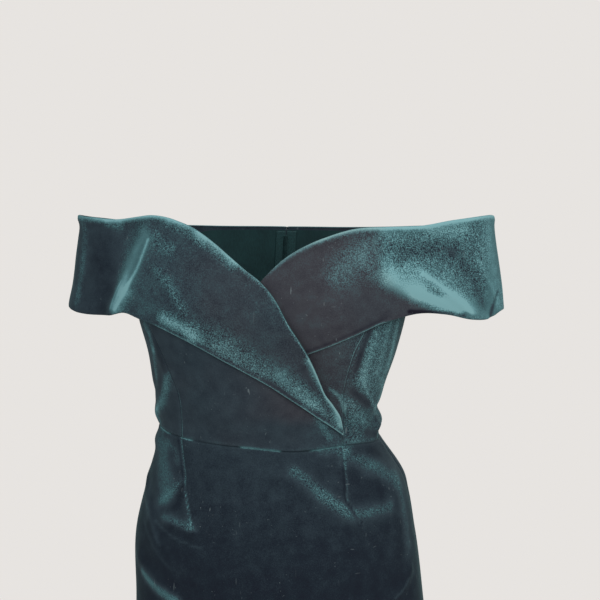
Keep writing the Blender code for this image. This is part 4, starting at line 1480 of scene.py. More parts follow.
@dataclass
class DressPattern:
    """What all the pieces share: the two forms, the seams' places and the finishes."""

    torso: WornForm
    belt: WornForm
    velvet: bpy.types.Material
    band_velvet: bpy.types.Material
    reverse: bpy.types.Material
    side_share: float = 0.5

    def side_seam(self, heights: Array, side: Side) -> Array:
        """Places on the side seam: half way round from the front centre to the centre back."""
        girths = side.value * self.side_share * self.torso.half_girth(heights, side)
        return np.stack([girths, heights], axis=-1)

    def centre_back(self, heights: Array, side: Side) -> Array:
        """Places beside the centre back."""
        girths = side.value * (self.torso.half_girth(heights, side) - HALF_SEAM)
        return np.stack([girths, heights], axis=-1)

    def finish(self, piece: ClothPiece, finishes: Finishes, slot: str, flat: tuple[float, float]) -> None:
        """Builds a cloth piece, dresses it, ties it to the frame and logs its faces and area.

        Args:
            piece: the piece.
            finishes: the finishes of its outer and inner face.
            slot: not used.
            flat: not used.
        """
        thing = piece.build()
        dress_cloth(thing, *finishes)
        join_frame(thing, DRESS, [piece.name])
        LOG.info("%s: %d faces, %.4f m2", piece.name, len(thing.data.polygons), piece.area)


def ordered(side: Side, bottom: Array, top: Array, near: Array, far: Array) -> Array:
    """A filled grid running from the wearer's right to left, whichever side its near edge is on.

    Args:
        side: the wearer's right or left.
        bottom: the low edge.
        top: the high edge.
        near: the edge nearer the front.
        far: the edge nearer the back.

    Returns:
        The grid.
    """
    if side is Side.LEFT:
        return filled(bottom, top, near, far)
    return filled(bottom[::-1], top[::-1], far, near)


@dataclass
class Bodice:
    """The bodice: two wrapped fronts, two side fronts and two backs."""

    pattern: DressPattern
    rows: int = 112
    underarm: float = -0.0580
    back_top: float = -0.0225
    inset: float = 0.0022
    wrap_tip: float = 0.0825
    underlap_end: float = -0.0350
    right_neck_start: float = -0.1160
    left_neck_end: float = 0.1180
    base_nap: float = 0.235
    left_side_light: float = 0.08
    left_front: Change = Change(0.02, 0.10)
    right_front: Change = Change(0.10, -0.02)
    left_back: Change = Change(0.17, 0.06)
    above_waist: Change = Change(-0.205, 0.02)
    left_line_top: Change = Change(-0.102, -0.008)
    left_line_end: Change = Change(-0.168, 0.010)
    right_line_top: Change = Change(-0.160, -0.020)

    def nap_and_shading(self, places: Array) -> Array:
        """The bodice's painted light: dark, with painted streaks of highlight and shade, the waist seam's
        painted highlight, and painted lighter on the wearer's left, where the light falls.
        """
        left = self.left_front.at(places[..., 0]) * (1 - self.left_back.at(places[..., 0]))
        return self.base_nap + self.left_side_light * left + waist_lights(places) + bells(BODY_NAP_AND_SHADING, places)

    def upright(self, rows: Sequence[Place], bottom: float, top: float, shift: float) -> Array:
        """A princess seam's edge, from one height to another."""
        heights = between(bottom, top, self.rows)
        return np.stack([seam_girth(rows, heights) + shift, heights], axis=-1)

    def neck(self, rows: Sequence[Place], start: float, end: float) -> Array:
        """A stretch of a band's top edge, brought in so that the bodice ends just inside the fold."""
        girths = np.linspace(start, end, 200)
        return np.stack([girths, curve(rows, girths) - self.inset], axis=-1)

    def piece(self, name: str, places: Array, lift: Array, edges: Edges, flat: tuple[float, float]) -> None:
        """Builds one panel of the bodice.

        Args:
            name: the panel's name.
            places: girths and heights.
            lift: how far it lies off the form.
            edges: its edges.
            flat: the width and length that it is cut from.
        """
        girths, heights = places[..., 0], places[..., 1]
        tone = 0.75 - 0.50 * hump(girths - 0.05, 0.04) * self.above_waist.at(heights)
        # How much painted highlight lies along each princess seam
        lit = self.left_line_top.at(heights) * self.left_line_end.at(heights) * (girths > 0)
        lit = lit + self.right_line_top.at(heights) * (girths < 0)
        calm = 0.55 * (self.right_front.at(girths) + self.left_back.at(girths))
        cloth = ClothPiece(
            name, self.pattern.torso, places, lift, CLOTH, edges, self.nap_and_shading(places), tone, BODY_FOLDS, lit=lit,
            calm=calm,
        )
        self.pattern.finish(cloth, (self.pattern.velvet, self.pattern.reverse), "velvet", flat)

    def front_right(self) -> None:
        """The wearer's right front, from its princess seam over to the point at the waist."""
        columns = 112
        shift = HALF_SEAM
        seam = PRINCESS_RIGHT[0].girth
        girths = graded(seam + shift, self.wrap_tip, columns, [seam])
        bottom = np.stack([girths, curve(WAIST, girths) + shift], axis=-1)
        neck = self.neck(BAND_RIGHT_TOP, self.right_neck_start, self.wrap_tip)
        top = spread(np.concatenate([np.array(ARMHOLE_RIGHT), neck]), columns)
        top[0, 0] += shift
        first = self.upright(PRINCESS_RIGHT, bottom[0, 1], top[0, 1], shift)
        last = between(bottom[-1], top[-1], self.rows)
        places = filled(bottom, top, first, last)
        edges = Edges(EdgeKind.SEAM, EdgeKind.HIDDEN, EdgeKind.LIT, EdgeKind.HIDDEN)
        self.piece("bodice_front_right", places, wrap_lift(places), edges, (0.22, 0.24))

    def front_left(self) -> None:
        """The wearer's left front, whose far edge ends hidden under the right one."""
        columns = 104
        shift = HALF_SEAM
        seam = PRINCESS_LEFT[0].girth
        girths = graded(self.underlap_end, seam - shift, columns, [seam])
        bottom = np.stack([girths, curve(WAIST, girths) + shift], axis=-1)
        neck = self.neck(BAND_LEFT_TOP, self.underlap_end, self.left_neck_end)
        top = spread(np.concatenate([neck, np.array(ARMHOLE_LEFT)[::-1]]), columns)
        top[-1, 0] -= shift
        first = between(bottom[0], top[0], self.rows)
        last = self.upright(PRINCESS_LEFT, bottom[-1, 1], top[-1, 1], -shift)
        places = filled(bottom, top, first, last)
        edges = Edges(EdgeKind.SEAM, EdgeKind.HIDDEN, EdgeKind.HIDDEN, EdgeKind.LIT)
        self.piece("bodice_front_left", places, np.zeros(places.shape[:2]), edges, (0.19, 0.24))

    def side_front(self, side: Side, princess: Sequence[Place]) -> None:
        """The panel between a princess seam and the side seam, up to the armhole.

        Args:
            side: the wearer's right or left.
            princess: the princess seam's places.
        """
        columns = 48
        shift = side.value * HALF_SEAM
        waist = waist_height(princess[0].girth)
        near = self.upright(princess, waist + HALF_SEAM, princess[-1].height, shift)
        side_waist = self.pattern.side_share * self.pattern.torso.half_girth(waist, side) - HALF_SEAM
        girths = np.linspace(princess[0].girth + shift, side.value * side_waist, columns)
        bottom = np.stack([girths, curve(WAIST, girths) + HALF_SEAM], axis=-1)
        far = self.pattern.side_seam(between(bottom[-1, 1], self.underarm, self.rows), side)
        far[:, 0] -= shift
        bottom[-1] = far[0]
        top = np.linspace(near[-1], far[-1], columns)
        places = ordered(side, bottom, top, near, far)
        edges = Edges(EdgeKind.SEAM, EdgeKind.PRESSED, EdgeKind.SEAM, EdgeKind.SEAM)
        name = f"bodice_side_front_{side.word}"
        self.piece(name, places, np.zeros(places.shape[:2]), edges, (0.09, 0.18))

    def back(self, side: Side) -> None:
        """The back bodice, from the side seam to the zip.

        Args:
            side: the wearer's right or left.
        """
        columns = 84
        waist, back_waist = (waist_height(side.value * girth) for girth in (SIDE_GIRTH, BACK_GIRTH))
        near = self.pattern.side_seam(between(waist + HALF_SEAM, self.underarm, self.rows), side)
        near[:, 0] += side.value * HALF_SEAM
        far = self.pattern.centre_back(between(back_waist + HALF_SEAM, self.back_top, self.rows), side)
        girths = np.linspace(near[0, 0], far[0, 0], columns)
        bottom = np.stack([girths, curve(WAIST, girths) + HALF_SEAM], axis=-1)
        near[0] = bottom[0]
        far[0] = bottom[-1]
        share = np.linspace(0, 1, columns)
        heights = self.underarm + (self.back_top - self.underarm) * ease(share / 0.55)
        top = np.stack([near[-1, 0] * (1 - share) + far[-1, 0] * share, heights], axis=-1)
        places = ordered(side, bottom, top, near, far)
        edges = Edges(EdgeKind.SEAM, EdgeKind.HIDDEN, EdgeKind.SEAM, EdgeKind.SEAM)
        self.piece(f"bodice_back_{side.word}", places, np.zeros(places.shape[:2]), edges, (0.19, 0.22))

    def build(self) -> None:
        """Builds the six panels."""
        self.front_right()
        self.front_left()
        self.side_front(Side.RIGHT, PRINCESS_RIGHT)
        self.side_front(Side.LEFT, PRINCESS_LEFT)
        for side in Side:
            self.back(side)


@dataclass
class Skirt:
    """The skirt: one front with two darts, and two backs with one dart each."""

    pattern: DressPattern
    rows: int = 210
    dart_depth: float = 0.0011
    dart_width: float = 0.0012
    # The painted highlight line down each dart, and the painted shade beside it
    dart_highlight: float = 0.20
    dart_shade: float = 0.08
    base_nap: float = 0.20
    # The skirt gets darker downwards: by this much, from this height, over this drop
    downward_darkening: float = 0.12
    darkening_from: float = -0.228
    darkening_over: float = 0.157
    front_flat: tuple[float, float] = (0.34, 0.60)
    back_flat: tuple[float, float] = (0.19, 0.60)
    right_hip: Change = Change(-0.092, -0.012)
    side_waists: tuple[float, float] = (-0.217, -0.2265)
    front_lines: tuple[float, float] = (-0.084, 0.086)
    back_line: float = 0.25
    line_reach: float = 0.005

    def heights(self, top: float) -> Array:
        """Heights from the hem up, closer together near the waist."""
        share = np.linspace(0, 1, self.rows)
        return HEM + (top - HEM) * (1 - (1 - share) ** 1.7)

    def nap_and_shading(self, places: Array) -> Array:
        """The value that picks the skirt's colour: darker downwards, with painted streaks of highlight and
        shade, the waist seam's painted highlight, and a painted highlight line down each dart with painted
        shade on one side.

        Args:
            places: girths and heights.

        Returns:
            The value at each place.
        """
        down = np.clip((self.darkening_from - places[..., 1]) / self.darkening_over, 0, 1)
        nap_and_shading = self.base_nap - self.downward_darkening * down + waist_lights(places) + bells(BODY_NAP_AND_SHADING, places)
        # A painted highlight line down each dart, and painted shade on one side of it
        for dart in DARTS:
            distance, side = off_path(dart, places)
            nap_and_shading = nap_and_shading + self.dart_highlight * hump(distance, 0.0009)
            nap_and_shading = nap_and_shading - self.dart_shade * hump(distance - 0.0024, 0.0013) * (side > 0)
        return nap_and_shading

    def darts(self, places: Array) -> Array:
        """The lift at the darts: a fine groove, with the cloth a little full on one side of it.

        Args:
            places: girths and heights.

        Returns:
            The lift at each place.
        """
        lift = np.zeros(places.shape[:2])
        for dart in DARTS:
            distance, side = off_path(dart, places)
            lift -= self.dart_depth * hump(distance, self.dart_width)
            lift += 0.5 * self.dart_depth * hump(distance - 0.004, 0.003) * (side > 0)
        return lift

    def piece(self, name: str, places: Array, edges: Edges, flat: tuple[float, float]) -> None:
        """Builds one panel of the skirt.

        Args:
            name: the panel's name.
            places: girths and heights.
            edges: its edges.
            flat: the width and length that it is cut from.
        """
        flush, green = np.zeros(places.shape[:2]), np.ones(places.shape[:2])
        calm = 0.12 + 0.60 * self.right_hip.at(places[..., 0])
        cloth = ClothPiece(
            name, self.pattern.torso, places, flush, CLOTH, edges, self.nap_and_shading(places), green, BODY_FOLDS,
            calm=calm, extra_lift=self.darts(places),
        )
        self.pattern.finish(cloth, (self.pattern.velvet, self.pattern.reverse), "velvet", flat)

    def front(self) -> None:
        """The skirt front, from side seam to side seam."""
        columns = 190
        torso = self.pattern.torso
        right_waist, left_waist = self.side_waists
        right = -self.pattern.side_share * torso.half_girth(right_waist, Side.RIGHT) + HALF_SEAM
        left = self.pattern.side_share * torso.half_girth(left_waist, Side.LEFT) - HALF_SEAM
        girths = graded(right, left, columns, self.front_lines, self.line_reach)
        top = np.stack([girths, curve(WAIST, girths) - HALF_SEAM], axis=-1)
        first = self.pattern.side_seam(self.heights(top[0, 1]), Side.RIGHT)
        first[:, 0] += HALF_SEAM
        last = self.pattern.side_seam(self.heights(top[-1, 1]), Side.LEFT)
        last[:, 0] -= HALF_SEAM
        top[0] = first[-1]
        top[-1] = last[-1]
        share = ((girths - right) / (left - right))[:, None]
        bottom = first[0] * (1 - share) + last[0] * share
        places = filled(bottom, top, first, last)
        edges = Edges(EdgeKind.PRESSED, EdgeKind.SEAM, EdgeKind.SEAM, EdgeKind.SEAM)
        self.piece("skirt_front", places, edges, self.front_flat)

    def back(self, side: Side) -> None:
        """The skirt back, from the side seam to the centre back.

        Args:
            side: the wearer's right or left.
        """
        columns = 100
        waist, back_waist = (waist_height(side.value * girth) for girth in (SIDE_GIRTH, BACK_GIRTH))
        near = self.pattern.side_seam(self.heights(waist - HALF_SEAM), side)
        near[:, 0] += side.value * HALF_SEAM
        far = self.pattern.centre_back(self.heights(back_waist - HALF_SEAM), side)
        line = side.value * self.back_line
        girths = graded(near[-1, 0], far[-1, 0], columns, [line], self.line_reach)
        top = np.stack([girths, curve(WAIST, girths) - HALF_SEAM], axis=-1)
        near[-1] = top[0]
        far[-1] = top[-1]
        share = ((girths - girths[0]) / (girths[-1] - girths[0]))[:, None]
        bottom = near[0] * (1 - share) + far[0] * share
        places = ordered(side, bottom, top, near, far)
        edges = Edges(EdgeKind.PRESSED, EdgeKind.SEAM, EdgeKind.SEAM, EdgeKind.SEAM)
        self.piece(f"skirt_back_{side.word}", places, edges, self.back_flat)

    def build(self) -> None:
        """Builds the three panels."""
        self.front()
        for side in Side:
            self.back(side)


@dataclass
class FoldedBand:
    """The wide band folded over at the top, worn off the shoulders and wrapped at the front."""

    pattern: DressPattern
    rows: int = 88
    columns: int = 380
    stretch_start: float = 0.240
    right_end: float = 0.0855
    left_end: float = -0.0120
    right_back: float = 0.480
    left_back: float = 0.515
    right_sleeve: Change = Change(-0.150, -0.02)
    right_arm_end: Change = Change(-0.180, -0.03)
    right_behind: Change = Change(-0.30, -0.10)
    right_teal: Change = Change(-0.04, -0.06)
    # How much painted highlight and shade the pressed edges carry, at the front and behind
    right_edge_light: tuple[Change, Change] = (Change(-0.112, 0.014), Change(-0.25, -0.03))
    crossing: tuple[Change, Change] = (Change(-0.020, 0.022), Change(0.062, -0.022))
    # Where the painted highlight line along the crossing edge starts
    crossing_light: Change = Change(-0.010, 0.012)
    narrower_roll: Change = Change(-0.100, 0.030)
    left_arm_end: Change = Change(0.205, 0.03)
    left_behind: Change = Change(0.28, 0.12)
    left_teal: Change = Change(0.06, 0.04)
    # How much painted highlight and shade the pressed edges carry, at the front and behind
    left_edge_light: tuple[Change, Change] = (Change(0.132, -0.014), Change(0.26, 0.03))
    left_roll: tuple[Change, Change] = (Change(0.002, 0.020), Change(0.055, -0.02))
    left_low: Change = Change(-0.055, -0.015)
    left_front: Change = Change(0.075, -0.03)

    def to_centre_back(self, stations: Array, heights: Array, side: Side, nominal: float) -> Array:
        """Girths for stations along the band: past the arm they stretch, so that the last meets the back.

        Args:
            stations: girths along the band.
            heights: heights, in the same shape.
            side: the wearer's right or left.
            nominal: the last station.

        Returns:
            The girths.
        """
        past = np.abs(stations) - self.stretch_start
        room = self.pattern.belt.half_girth(heights, side) - HALF_SEAM - self.stretch_start
        stretched = side.value * (self.stretch_start + past * room / (nominal - self.stretch_start))
        return np.where(side.value * stations > self.stretch_start, stretched, stations)

    def places(self, side: Side, top_rows: Sequence[Place], low_rows: Sequence[Place], end: float) -> Array:
        """The band's grid of places: from its low edge to its top one at stations along it.

        Args:
            side: the wearer's right or left.
            top_rows: the top edge.
            low_rows: the low edge.
            end: the girth of its front end.

        Returns:
            The grid.
        """
        nominal = self.right_back if side is Side.RIGHT else self.left_back
        stations = np.linspace(end, side.value * nominal, self.columns)
        if side is Side.RIGHT:
            stations = stations[::-1]
        low = curve(low_rows, stations)
        top = curve(top_rows, stations)
        heights = between(low, top, self.rows)
        girths = self.to_centre_back(np.broadcast_to(stations, heights.shape), heights, side, nominal)
        return np.stack([girths, heights], axis=-1)

    def right(self) -> None:
        """The wearer's right side, which crosses over to its point at the waist."""
        places = self.places(Side.RIGHT, BAND_RIGHT_TOP, BAND_RIGHT_LOW, self.right_end)
        girths = places[..., 0]
        sleeve, arm_end = self.right_sleeve.at(girths), self.right_arm_end.at(girths)
        behind = self.right_behind.at(girths)
        crossed = self.crossing[1].at(girths)
        crossing = self.crossing[0].at(girths) * crossed
        # Painted streaks of highlight and shade, on a base a little darker on the sleeve and lighter towards
        # the back
        nap_and_shading = 0.27 - 0.03 * sleeve + 0.08 * behind + bells(RIGHT_BAND_NAP_AND_SHADING, places)
        below_top = curve(BAND_RIGHT_TOP, girths) - places[..., 1]
        # A painted highlight line just under the top edge where the band crosses over
        nap_and_shading += 0.20 * self.crossing_light.at(girths) * crossed * hump(below_top, 0.0011)
        narrower = self.narrower_roll.at(girths) * (1 - crossing)
        # How much painted highlight and shade its pressed edges carry, at the front and behind
        front, back = self.right_edge_light
        piece = ClothPiece(
            "band_right",
            self.pattern.belt,
            places,
            OVER_BODICE + wrap_lift(places),
            BAND_CLOTH,
            Edges(EdgeKind.PRESSED, EdgeKind.ROLL, EdgeKind.SEAM, EdgeKind.PRESSED),
            nap_and_shading,
            0.58 + 0.32 * self.right_teal.at(girths),
            SLEEVE_FOLDS,
            fullness=1 - 0.65 * crossing - 0.35 * arm_end - 0.35 * narrower,
            pressed=front.at(girths) + 0.5 * back.at(girths),
            calm=np.clip(bells(BAND_CALM, places) + 0.4 * behind, 0, 1),
        )
        self.pattern.finish(piece, (self.pattern.band_velvet,) * 2, "band_velvet", (0.60, 0.12))

    def left(self) -> None:
        """The wearer's left side, whose front end lies hidden under the right one."""
        places = self.places(Side.LEFT, BAND_LEFT_TOP, BAND_LEFT_LOW, self.left_end)
        girths = places[..., 0]
        turn = seam_girth(LEFT_BAND_TURN, places[..., 1].ravel()).reshape(girths.shape)
        # Past the turn the band is painted lighter and greener, partly the pile's leaning
        light = Change(0.0, 0.02).at(girths - turn)
        behind = self.left_behind.at(girths)
        calm = (0.42 + 0.30 * self.left_low.at(places[..., 1])) * (1 - light)
        calm = calm + 0.30 * self.left_front.at(girths) + 0.4 * behind + bells(BAND_CALM, places)
        roll, thin = (change.at(girths) for change in self.left_roll)
        # How much painted highlight and shade its pressed edges carry, at the front and behind
        front, back = self.left_edge_light
        piece = ClothPiece(
            "band_left",
            self.pattern.belt,
            places,
            np.full(girths.shape, OVER_BODICE),
            BAND_CLOTH,
            Edges(EdgeKind.PRESSED, EdgeKind.ROLL, EdgeKind.HIDDEN, EdgeKind.SEAM),
            0.27 + 0.23 * light * (1 - 0.80 * behind) + bells(LEFT_BAND_NAP_AND_SHADING, places),
            0.10 + 0.20 * self.left_teal.at(girths) + 0.55 * light * (1 - 0.30 * behind),
            SLEEVE_FOLDS,
            fullness=roll * (1 - 0.35 * thin) - 0.35 * self.left_arm_end.at(girths),
            pressed=front.at(girths) + 0.5 * back.at(girths),
            calm=np.clip(calm, 0, 1),
        )
        self.pattern.finish(piece, (self.pattern.band_velvet,) * 2, "band_velvet", (0.56, 0.11))

    def build(self) -> None:
        """Builds both sides."""
        self.right()
        self.left()


@dataclass
class BackZip:
    """The zip at the centre back: its slider and pull outside, its tape and coil inside."""

    pattern: DressPattern
    metal: bpy.types.Material
    weave: bpy.types.Material
    tape_width: float = 0.0110
    tape_thickness: float = 0.0005
    tape_bottom: float = -0.400
    coil_top: float = -0.0290
    coil_radius: float = 0.0012
    coil_wire: float = 0.00038
    coil_pitch: float = 0.0013
    coil_steps: int = 8
    coil_sides: int = 6
    wire_sides: int = 12
    block_sides: int = 28
    tape_top: float = -0.0245
    tape_lift: float = -0.0006
    tape_inner_edge: float = 0.0006
    coil_lift: float = -0.0012
    coil_above_end: float = 0.004
    coil_depth_share: float = 0.7
    coil_breadth_share: float = 1.6
    slider_half_width: float = 0.0026
    slider_narrowing: float = 0.0004
    slider_half_depth: float = 0.0013
    slider_half_height: float = 0.0050
    bridge_wire: float = 0.00048
    bridge_inset: float = 0.0009
    bridge_depth: float = 0.0021
    bridge_drop: float = 0.0006
    bridge_half_height: float = 0.0026
    ring_wire: float = 0.00042
    ring_half_width: float = 0.00135
    ring_half_height: float = 0.0014
    ring_room: float = 0.0009
    ring_drop: float = 0.0004
    neck_half_width: float = 0.0012
    drop_half_width: float = 0.0021
    drop_half_depth: float = 0.0006

    def add(self, name: str, mesh: tuple[Array, Faces], body: str, nodes: Sequence[str] = ()) -> None:
        """Makes a metal piece of the zip and ties it to the frame.

        Args:
            name: the piece's name.
            mesh: its points and faces.
            body: the body that it rides on.
            nodes: the nodes that it stands for.
        """
        thing = mesh_object(name, *mesh)
        thing.data.materials.append(self.metal)
        join_frame(thing, body, nodes)

    def rounded_block(self, centre: Array, sizes: Sizes, z: Array) -> tuple[Array, Array]:
        """A closed upright shape whose level outlines are rounded oblongs.

        An outline's point in a direction is its half width times the signed square root of the sine, and its
        half depth times that of the cosine.

        Args:
            centre: the shape's centre in X and Y.
            sizes: half width and half depth at each height.
            z: the heights, from low to high, the first and last closing the ends.

        Returns:
            Points and quads.
        """
        around = self.block_sides
        turn = np.linspace(0, 2 * math.pi, around, endpoint=False)
        width, depth = sizes(z)
        x = centre[0] + width[:, None] * np.sign(np.sin(turn)) * np.abs(np.sin(turn)) ** 0.55
        y = centre[1] - depth[:, None] * np.sign(np.cos(turn)) * np.abs(np.cos(turn)) ** 0.55
        points = np.stack([x, y, np.broadcast_to(z[:, None], x.shape)], axis=-1)
        index = np.arange(points.shape[0] * around).reshape(-1, around)
        low, high = index[:-1], index[1:]
        quads = np.stack([low, np.roll(low, -1, 1), np.roll(high, -1, 1), high], axis=-1)
        return points.reshape(-1, 3), quads.reshape(-1, 4)

    def with_caps(self, points: Array, quads: Array, around: int) -> tuple[Array, Faces]:
        """Closes both ends of an upright shape with one face each.

        Args:
            points: the shape's points.
            quads: its faces.
            around: how many points a ring has.

        Returns:
            Points and faces.
        """
        low = list(range(around))[::-1]
        high = list(range(len(points) - around, len(points)))
        return points, [*quads.tolist(), low, high]

    def tube(self, path: Array, radius: float, around: int, closed: bool) -> tuple[Array, Array]:
        """A round wire along a path: rings square to it, from the path's direction and a fixed up.

        Args:
            path: the wire's centre points.
            radius: the wire's radius.
            around: how many points a ring has.
            closed: whether the last ring joins the first.

        Returns:
            Points and quads.
        """
        ahead = np.roll(path, -1, 0) - np.roll(path, 1, 0)
        if not closed:
            ahead[0] = path[1] - path[0]
            ahead[-1] = path[-1] - path[-2]
        ahead = ahead / np.linalg.norm(ahead, axis=1, keepdims=True)
        one = np.cross(ahead, np.array([0.31, 0.87, 0.38]))
        one = one / np.linalg.norm(one, axis=1, keepdims=True)
        other = np.cross(ahead, one)
        turn = np.linspace(0, 2 * math.pi, around, endpoint=False)[None, :, None]
        points = path[:, None] + radius * (np.cos(turn) * one[:, None] + np.sin(turn) * other[:, None])
        index = np.arange(len(path) * around).reshape(-1, around)
        nxt = np.roll(index, -1, 0) if closed else index[1:]
        here = index if closed else index[:-1]
        quads = np.stack([here, np.roll(here, -1, 1), np.roll(nxt, -1, 1), nxt], axis=-1)
        return points.reshape(-1, 3), quads.reshape(-1, 4)

    def slider(self) -> None:
        """The slider: a body that narrows downwards, and a bridge over it that holds the pull."""
        low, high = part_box("zip_slider")
        pull_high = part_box("zip_pull")[1]
        centre = np.array([(low[0] + high[0]) / 2, low[1] + self.slider_half_depth])
        middle = (low[2] + high[2]) / 2
        z = middle + self.slider_half_height * np.sin(np.linspace(-math.pi / 2, math.pi / 2, 21))

        def sizes(at: Array) -> tuple[Array, Array]:
            """Half width and half depth: both round off at the ends, and the body narrows downwards.

            Args:
                at: heights.

            Returns:
                Half widths and half depths.
            """
            share = (at - middle) / self.slider_half_height
            end = np.maximum(1 - np.abs(share) ** 3.2, 0.03) ** 0.5
            width = self.slider_half_width + self.slider_narrowing * share
            return width * end, self.slider_half_depth * end

        block = self.with_caps(*self.rounded_block(centre, sizes, z), self.block_sides)
        self.add("zip_slider_body", block, DRESS, ["zip_slider"])
        turn = np.linspace(0, math.pi, 17)
        depth = centre[1] + self.bridge_inset + self.bridge_depth * np.sin(turn)
        height = pull_high[2] - self.bridge_drop + self.bridge_half_height * np.cos(turn)
        arch = np.stack([np.full(turn.shape, centre[0]), depth, height], axis=-1)
        points, quads = self.tube(arch, self.bridge_wire, self.wire_sides, closed=False)
        self.add("zip_slider_bridge", self.with_caps(points, quads[:, ::-1], self.wire_sides), DRESS)
        LOG.info("zip slider made")

    def pull(self) -> None:
        """The pull: a flat drop hung from a ring round the slider's bridge."""
        low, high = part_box("zip_pull")
        x = (low[0] + high[0]) / 2
        y = (low[1] + high[1]) / 2
        top = high[2] - self.ring_room
        neck = top - self.ring_half_height
        length = top - low[2] - self.ring_half_height
        z = neck - length * (1 - np.cos(np.linspace(0, math.pi, 41))) / 2

        def sizes(at: Array) -> tuple[Array, Array]:
            """Half width grows from the neck down to the drop and rounds off, and the depth stays flat.

            Args:
                at: heights.

            Returns:
                Half widths and half depths.
            """
            share = (neck - at) / length
            width = self.neck_half_width + self.drop_half_width * ease(share * 1.25)
            end = np.maximum(1 - np.abs(2 * share - 1) ** 9, 0.004) ** 0.5
            return width * end, self.drop_half_depth * end

        block = self.with_caps(*self.rounded_block(np.array([x, y]), sizes, z[::-1]), self.block_sides)
        self.add("zip_pull_drop", block, PULL, ["zip_pull"])
        turn = np.linspace(0, 2 * math.pi, 28, endpoint=False)
        across = x + self.ring_half_width * np.sin(turn)
        height = top - self.ring_drop + self.ring_half_height * np.cos(turn)
        ring = np.stack([across, np.full(turn.shape, y), height], axis=-1)
        self.add("zip_pull_ring", self.tube(ring, self.ring_wire, self.wire_sides, closed=True), PULL)
        LOG.info("zip pull made")

    def tape(self, side: Side) -> None:
        """One side of the tape, flat against the inside of the back.

        Args:
            side: the wearer's right or left.
        """
        rows, columns = 260, 9
        heights = np.linspace(self.tape_bottom, self.tape_top, rows)[:, None] * np.ones((1, columns))
        across = np.linspace(self.tape_inner_edge, self.tape_width, columns)[None]
        girths = side.value * (self.pattern.torso.half_girth(heights, side) - across)
        if side is Side.LEFT:
            girths, heights = girths[:, ::-1], heights[:, ::-1]
        places = np.stack([girths, heights], axis=-1)
        piece = ClothPiece(
            f"zip_tape_{side.word}",
            self.pattern.torso,
            places,
            np.full(heights.shape, self.tape_lift - self.tape_thickness),
            self.tape_thickness,
            Edges(*(EdgeKind.HIDDEN,) * 4),
            np.zeros(heights.shape),
            np.zeros(heights.shape),
            BODY_FOLDS,
            rim_steps=1,
        )
        thing = piece.build()
        dress_cloth(thing, self.weave, self.weave)
        join_frame(thing, DRESS)

    def coil(self) -> None:
        """The closed coil on the tape: a helix down the inside of the centre back."""
        turns = int((self.coil_top - self.tape_bottom) / self.coil_pitch)
        steps = turns * self.coil_steps
        heights = np.linspace(self.coil_top, self.tape_bottom + self.coil_above_end, steps)
        girths = self.pattern.torso.half_girth(heights, Side.LEFT)
        base = self.pattern.torso.point(girths, heights)
        short_of_back = 0.004
        out = self.pattern.torso.outward(girths - short_of_back, heights)
        aside = np.array([1.0, 0.0, 0.0])
        turn = np.arange(steps) * (2 * math.pi / self.coil_steps)
        deep = self.coil_depth_share * np.cos(turn) - 1
        path = base + out * (self.coil_lift + self.coil_radius * deep)[:, None]
        path = path + aside * (self.coil_breadth_share * self.coil_radius * np.sin(turn))[:, None]
        path[:, 2] = heights
        points, quads = self.tube(path, self.coil_wire, self.coil_sides, closed=False)
        coil = mesh_object("zip_coil", *self.with_caps(points, quads[:, ::-1], self.coil_sides))
        coil.data.materials.append(self.weave)
        join_frame(coil, DRESS)
        LOG.info("zip tape and coil made")

    def build(self) -> None:
        """Builds the zip."""
        self.slider()
        self.pull()
        for side in Side:
            self.tape(side)
        self.coil()


@dataclass(frozen=True)
class SoftLight:
    """One large soft light, aimed at the middle of the dress."""

    name: str
    place: tuple[float, float, float]
    size: float
    power: float
    colour: Colour


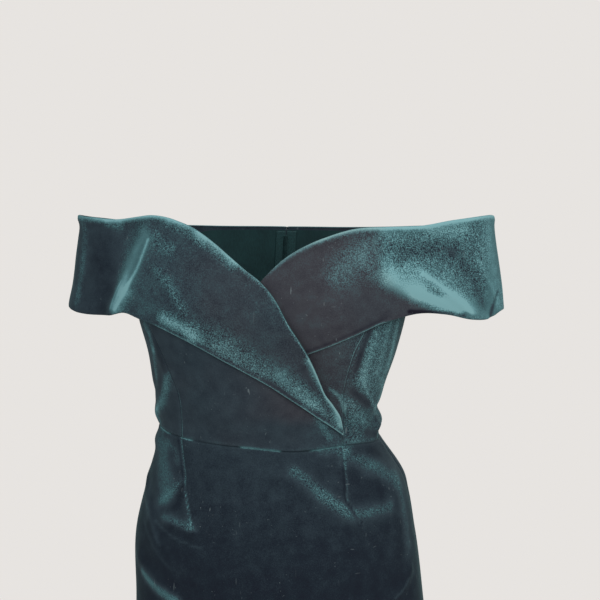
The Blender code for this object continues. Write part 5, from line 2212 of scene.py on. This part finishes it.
@dataclass
class Studio:
    """The pale floor, the soft lights and the camera."""

    floor_height: float = -1.28
    floor_radius: float = 2.4
    wall_colour: Colour = (0.800, 0.775, 0.750)
    ambient: float = 0.42
    aim: tuple[float, float, float] = (0.0, 0.0, -0.18)
    surround_light: Colour = (0.93, 0.97, 1.0)
    lens: float = 93.42
    film_width: float = 36.0
    camera_place: tuple[float, float, float] = (0.19494, -1.58814, 0.13870)
    camera_down: float = 8.0425
    camera_turn: float = 6.5
    lights: tuple[SoftLight, ...] = (
        SoftLight("key_light", (1.30, -2.00, 1.10), 1.6, 46.0, (1.0, 0.98, 0.95)),
        SoftLight("fill_light", (-1.90, -1.60, 0.50), 1.8, 14.0, (0.95, 0.98, 1.0)),
        SoftLight("top_light", (0.10, 0.20, 2.10), 1.6, 26.0, (1.0, 1.0, 1.0)),
        SoftLight("back_light", (0.40, 2.40, 1.00), 2.0, 22.0, (1.0, 0.99, 0.97)),
    )

    def floor(self) -> None:
        """A round pale floor well below the hem."""
        rings = np.array([0.02, 0.5, 1.0, 1.6, self.floor_radius])
        turn = np.linspace(0, 2 * math.pi, 96, endpoint=False)
        x = rings[:, None] * np.cos(turn)
        y = rings[:, None] * np.sin(turn)
        points = np.stack([x, y, np.full(x.shape, self.floor_height)], axis=-1).reshape(-1, 3)
        index = np.arange(len(points)).reshape(len(rings), -1)
        near, far = index[:-1], index[1:]
        quads = np.stack([near, far, np.roll(far, -1, 1), np.roll(near, -1, 1)], axis=-1)
        floor = mesh_object("studio_floor", points, [*quads.reshape(-1, 4).tolist(), index[0].tolist()])
        floor.data.materials.append(StudioPaint().make())

    def world(self) -> None:
        """A pale surround: dimmer as light than it looks, so that the folds keep their shade."""
        world = bpy.data.worlds.new("studio_surround")
        bpy.context.scene.world = world
        world.use_nodes = True
        tree = world.node_tree
        lit = tree.nodes["Background"]
        lit.inputs["Color"].default_value = (*self.surround_light, 1.0)
        lit.inputs["Strength"].default_value = self.ambient
        seen = tree.nodes.new("ShaderNodeBackground")
        seen.inputs["Color"].default_value = (*self.wall_colour, 1.0)
        rays = tree.nodes.new("ShaderNodeLightPath")
        mix = tree.nodes.new("ShaderNodeMixShader")
        tree.links.new(rays.outputs["Is Camera Ray"], mix.inputs[0])
        tree.links.new(lit.outputs[0], mix.inputs[1])
        tree.links.new(seen.outputs[0], mix.inputs[2])
        tree.links.new(mix.outputs[0], tree.nodes["World Output"].inputs["Surface"])

    def lamps(self) -> None:
        """The soft lights."""
        for light in self.lights:
            data = bpy.data.lights.new(light.name, "AREA")
            data.size = light.size
            data.energy = light.power
            data.color = light.colour
            lamp = bpy.data.objects.new(light.name, data)
            lamp.location = light.place
            towards = Vector(self.aim) - Vector(light.place)
            lamp.rotation_euler = towards.to_track_quat("-Z", "Y").to_euler()
            bpy.context.scene.collection.objects.link(lamp)

    def camera(self) -> None:
        """The camera: a little above the band, looking slightly down and from the wearer's left."""
        data = bpy.data.cameras.new("camera")
        data.lens = self.lens
        data.sensor_width = self.film_width
        data.clip_start = 0.1
        camera = bpy.data.objects.new("camera", data)
        camera.location = self.camera_place
        camera.rotation_euler = (math.radians(90 - self.camera_down), 0.0, math.radians(self.camera_turn))
        bpy.context.scene.collection.objects.link(camera)
        bpy.context.scene.camera = camera

    def build(self) -> None:
        """Builds the studio."""
        bpy.context.scene.view_settings.view_transform = "Standard"
        self.camera()
        self.floor()
        self.world()
        self.lamps()
        LOG.info("studio made")


def main() -> None:
    """Builds the studio, the dress and its zip, in order."""
    logging.basicConfig(level=logging.INFO, format="%(name)s: %(message)s")
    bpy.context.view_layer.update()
    Studio().build()
    shape = WornShape()
    pattern = DressPattern(
        torso=WornForm(shape, HEM - 0.01, round_arms=False),
        belt=WornForm(shape, shape.arm_gone - 0.08, round_arms=True),
        velvet=Velvet("velvet_body").make(),
        band_velvet=Velvet("velvet_band").make(),
        reverse=VelvetReverse().make(),
    )
    Bodice(pattern).build()
    Skirt(pattern).build()
    FoldedBand(pattern).build()
    BackZip(pattern, DyedMetal().make(), ZipTapeWeave().make()).build()


if __name__ == "__main__":
    main()
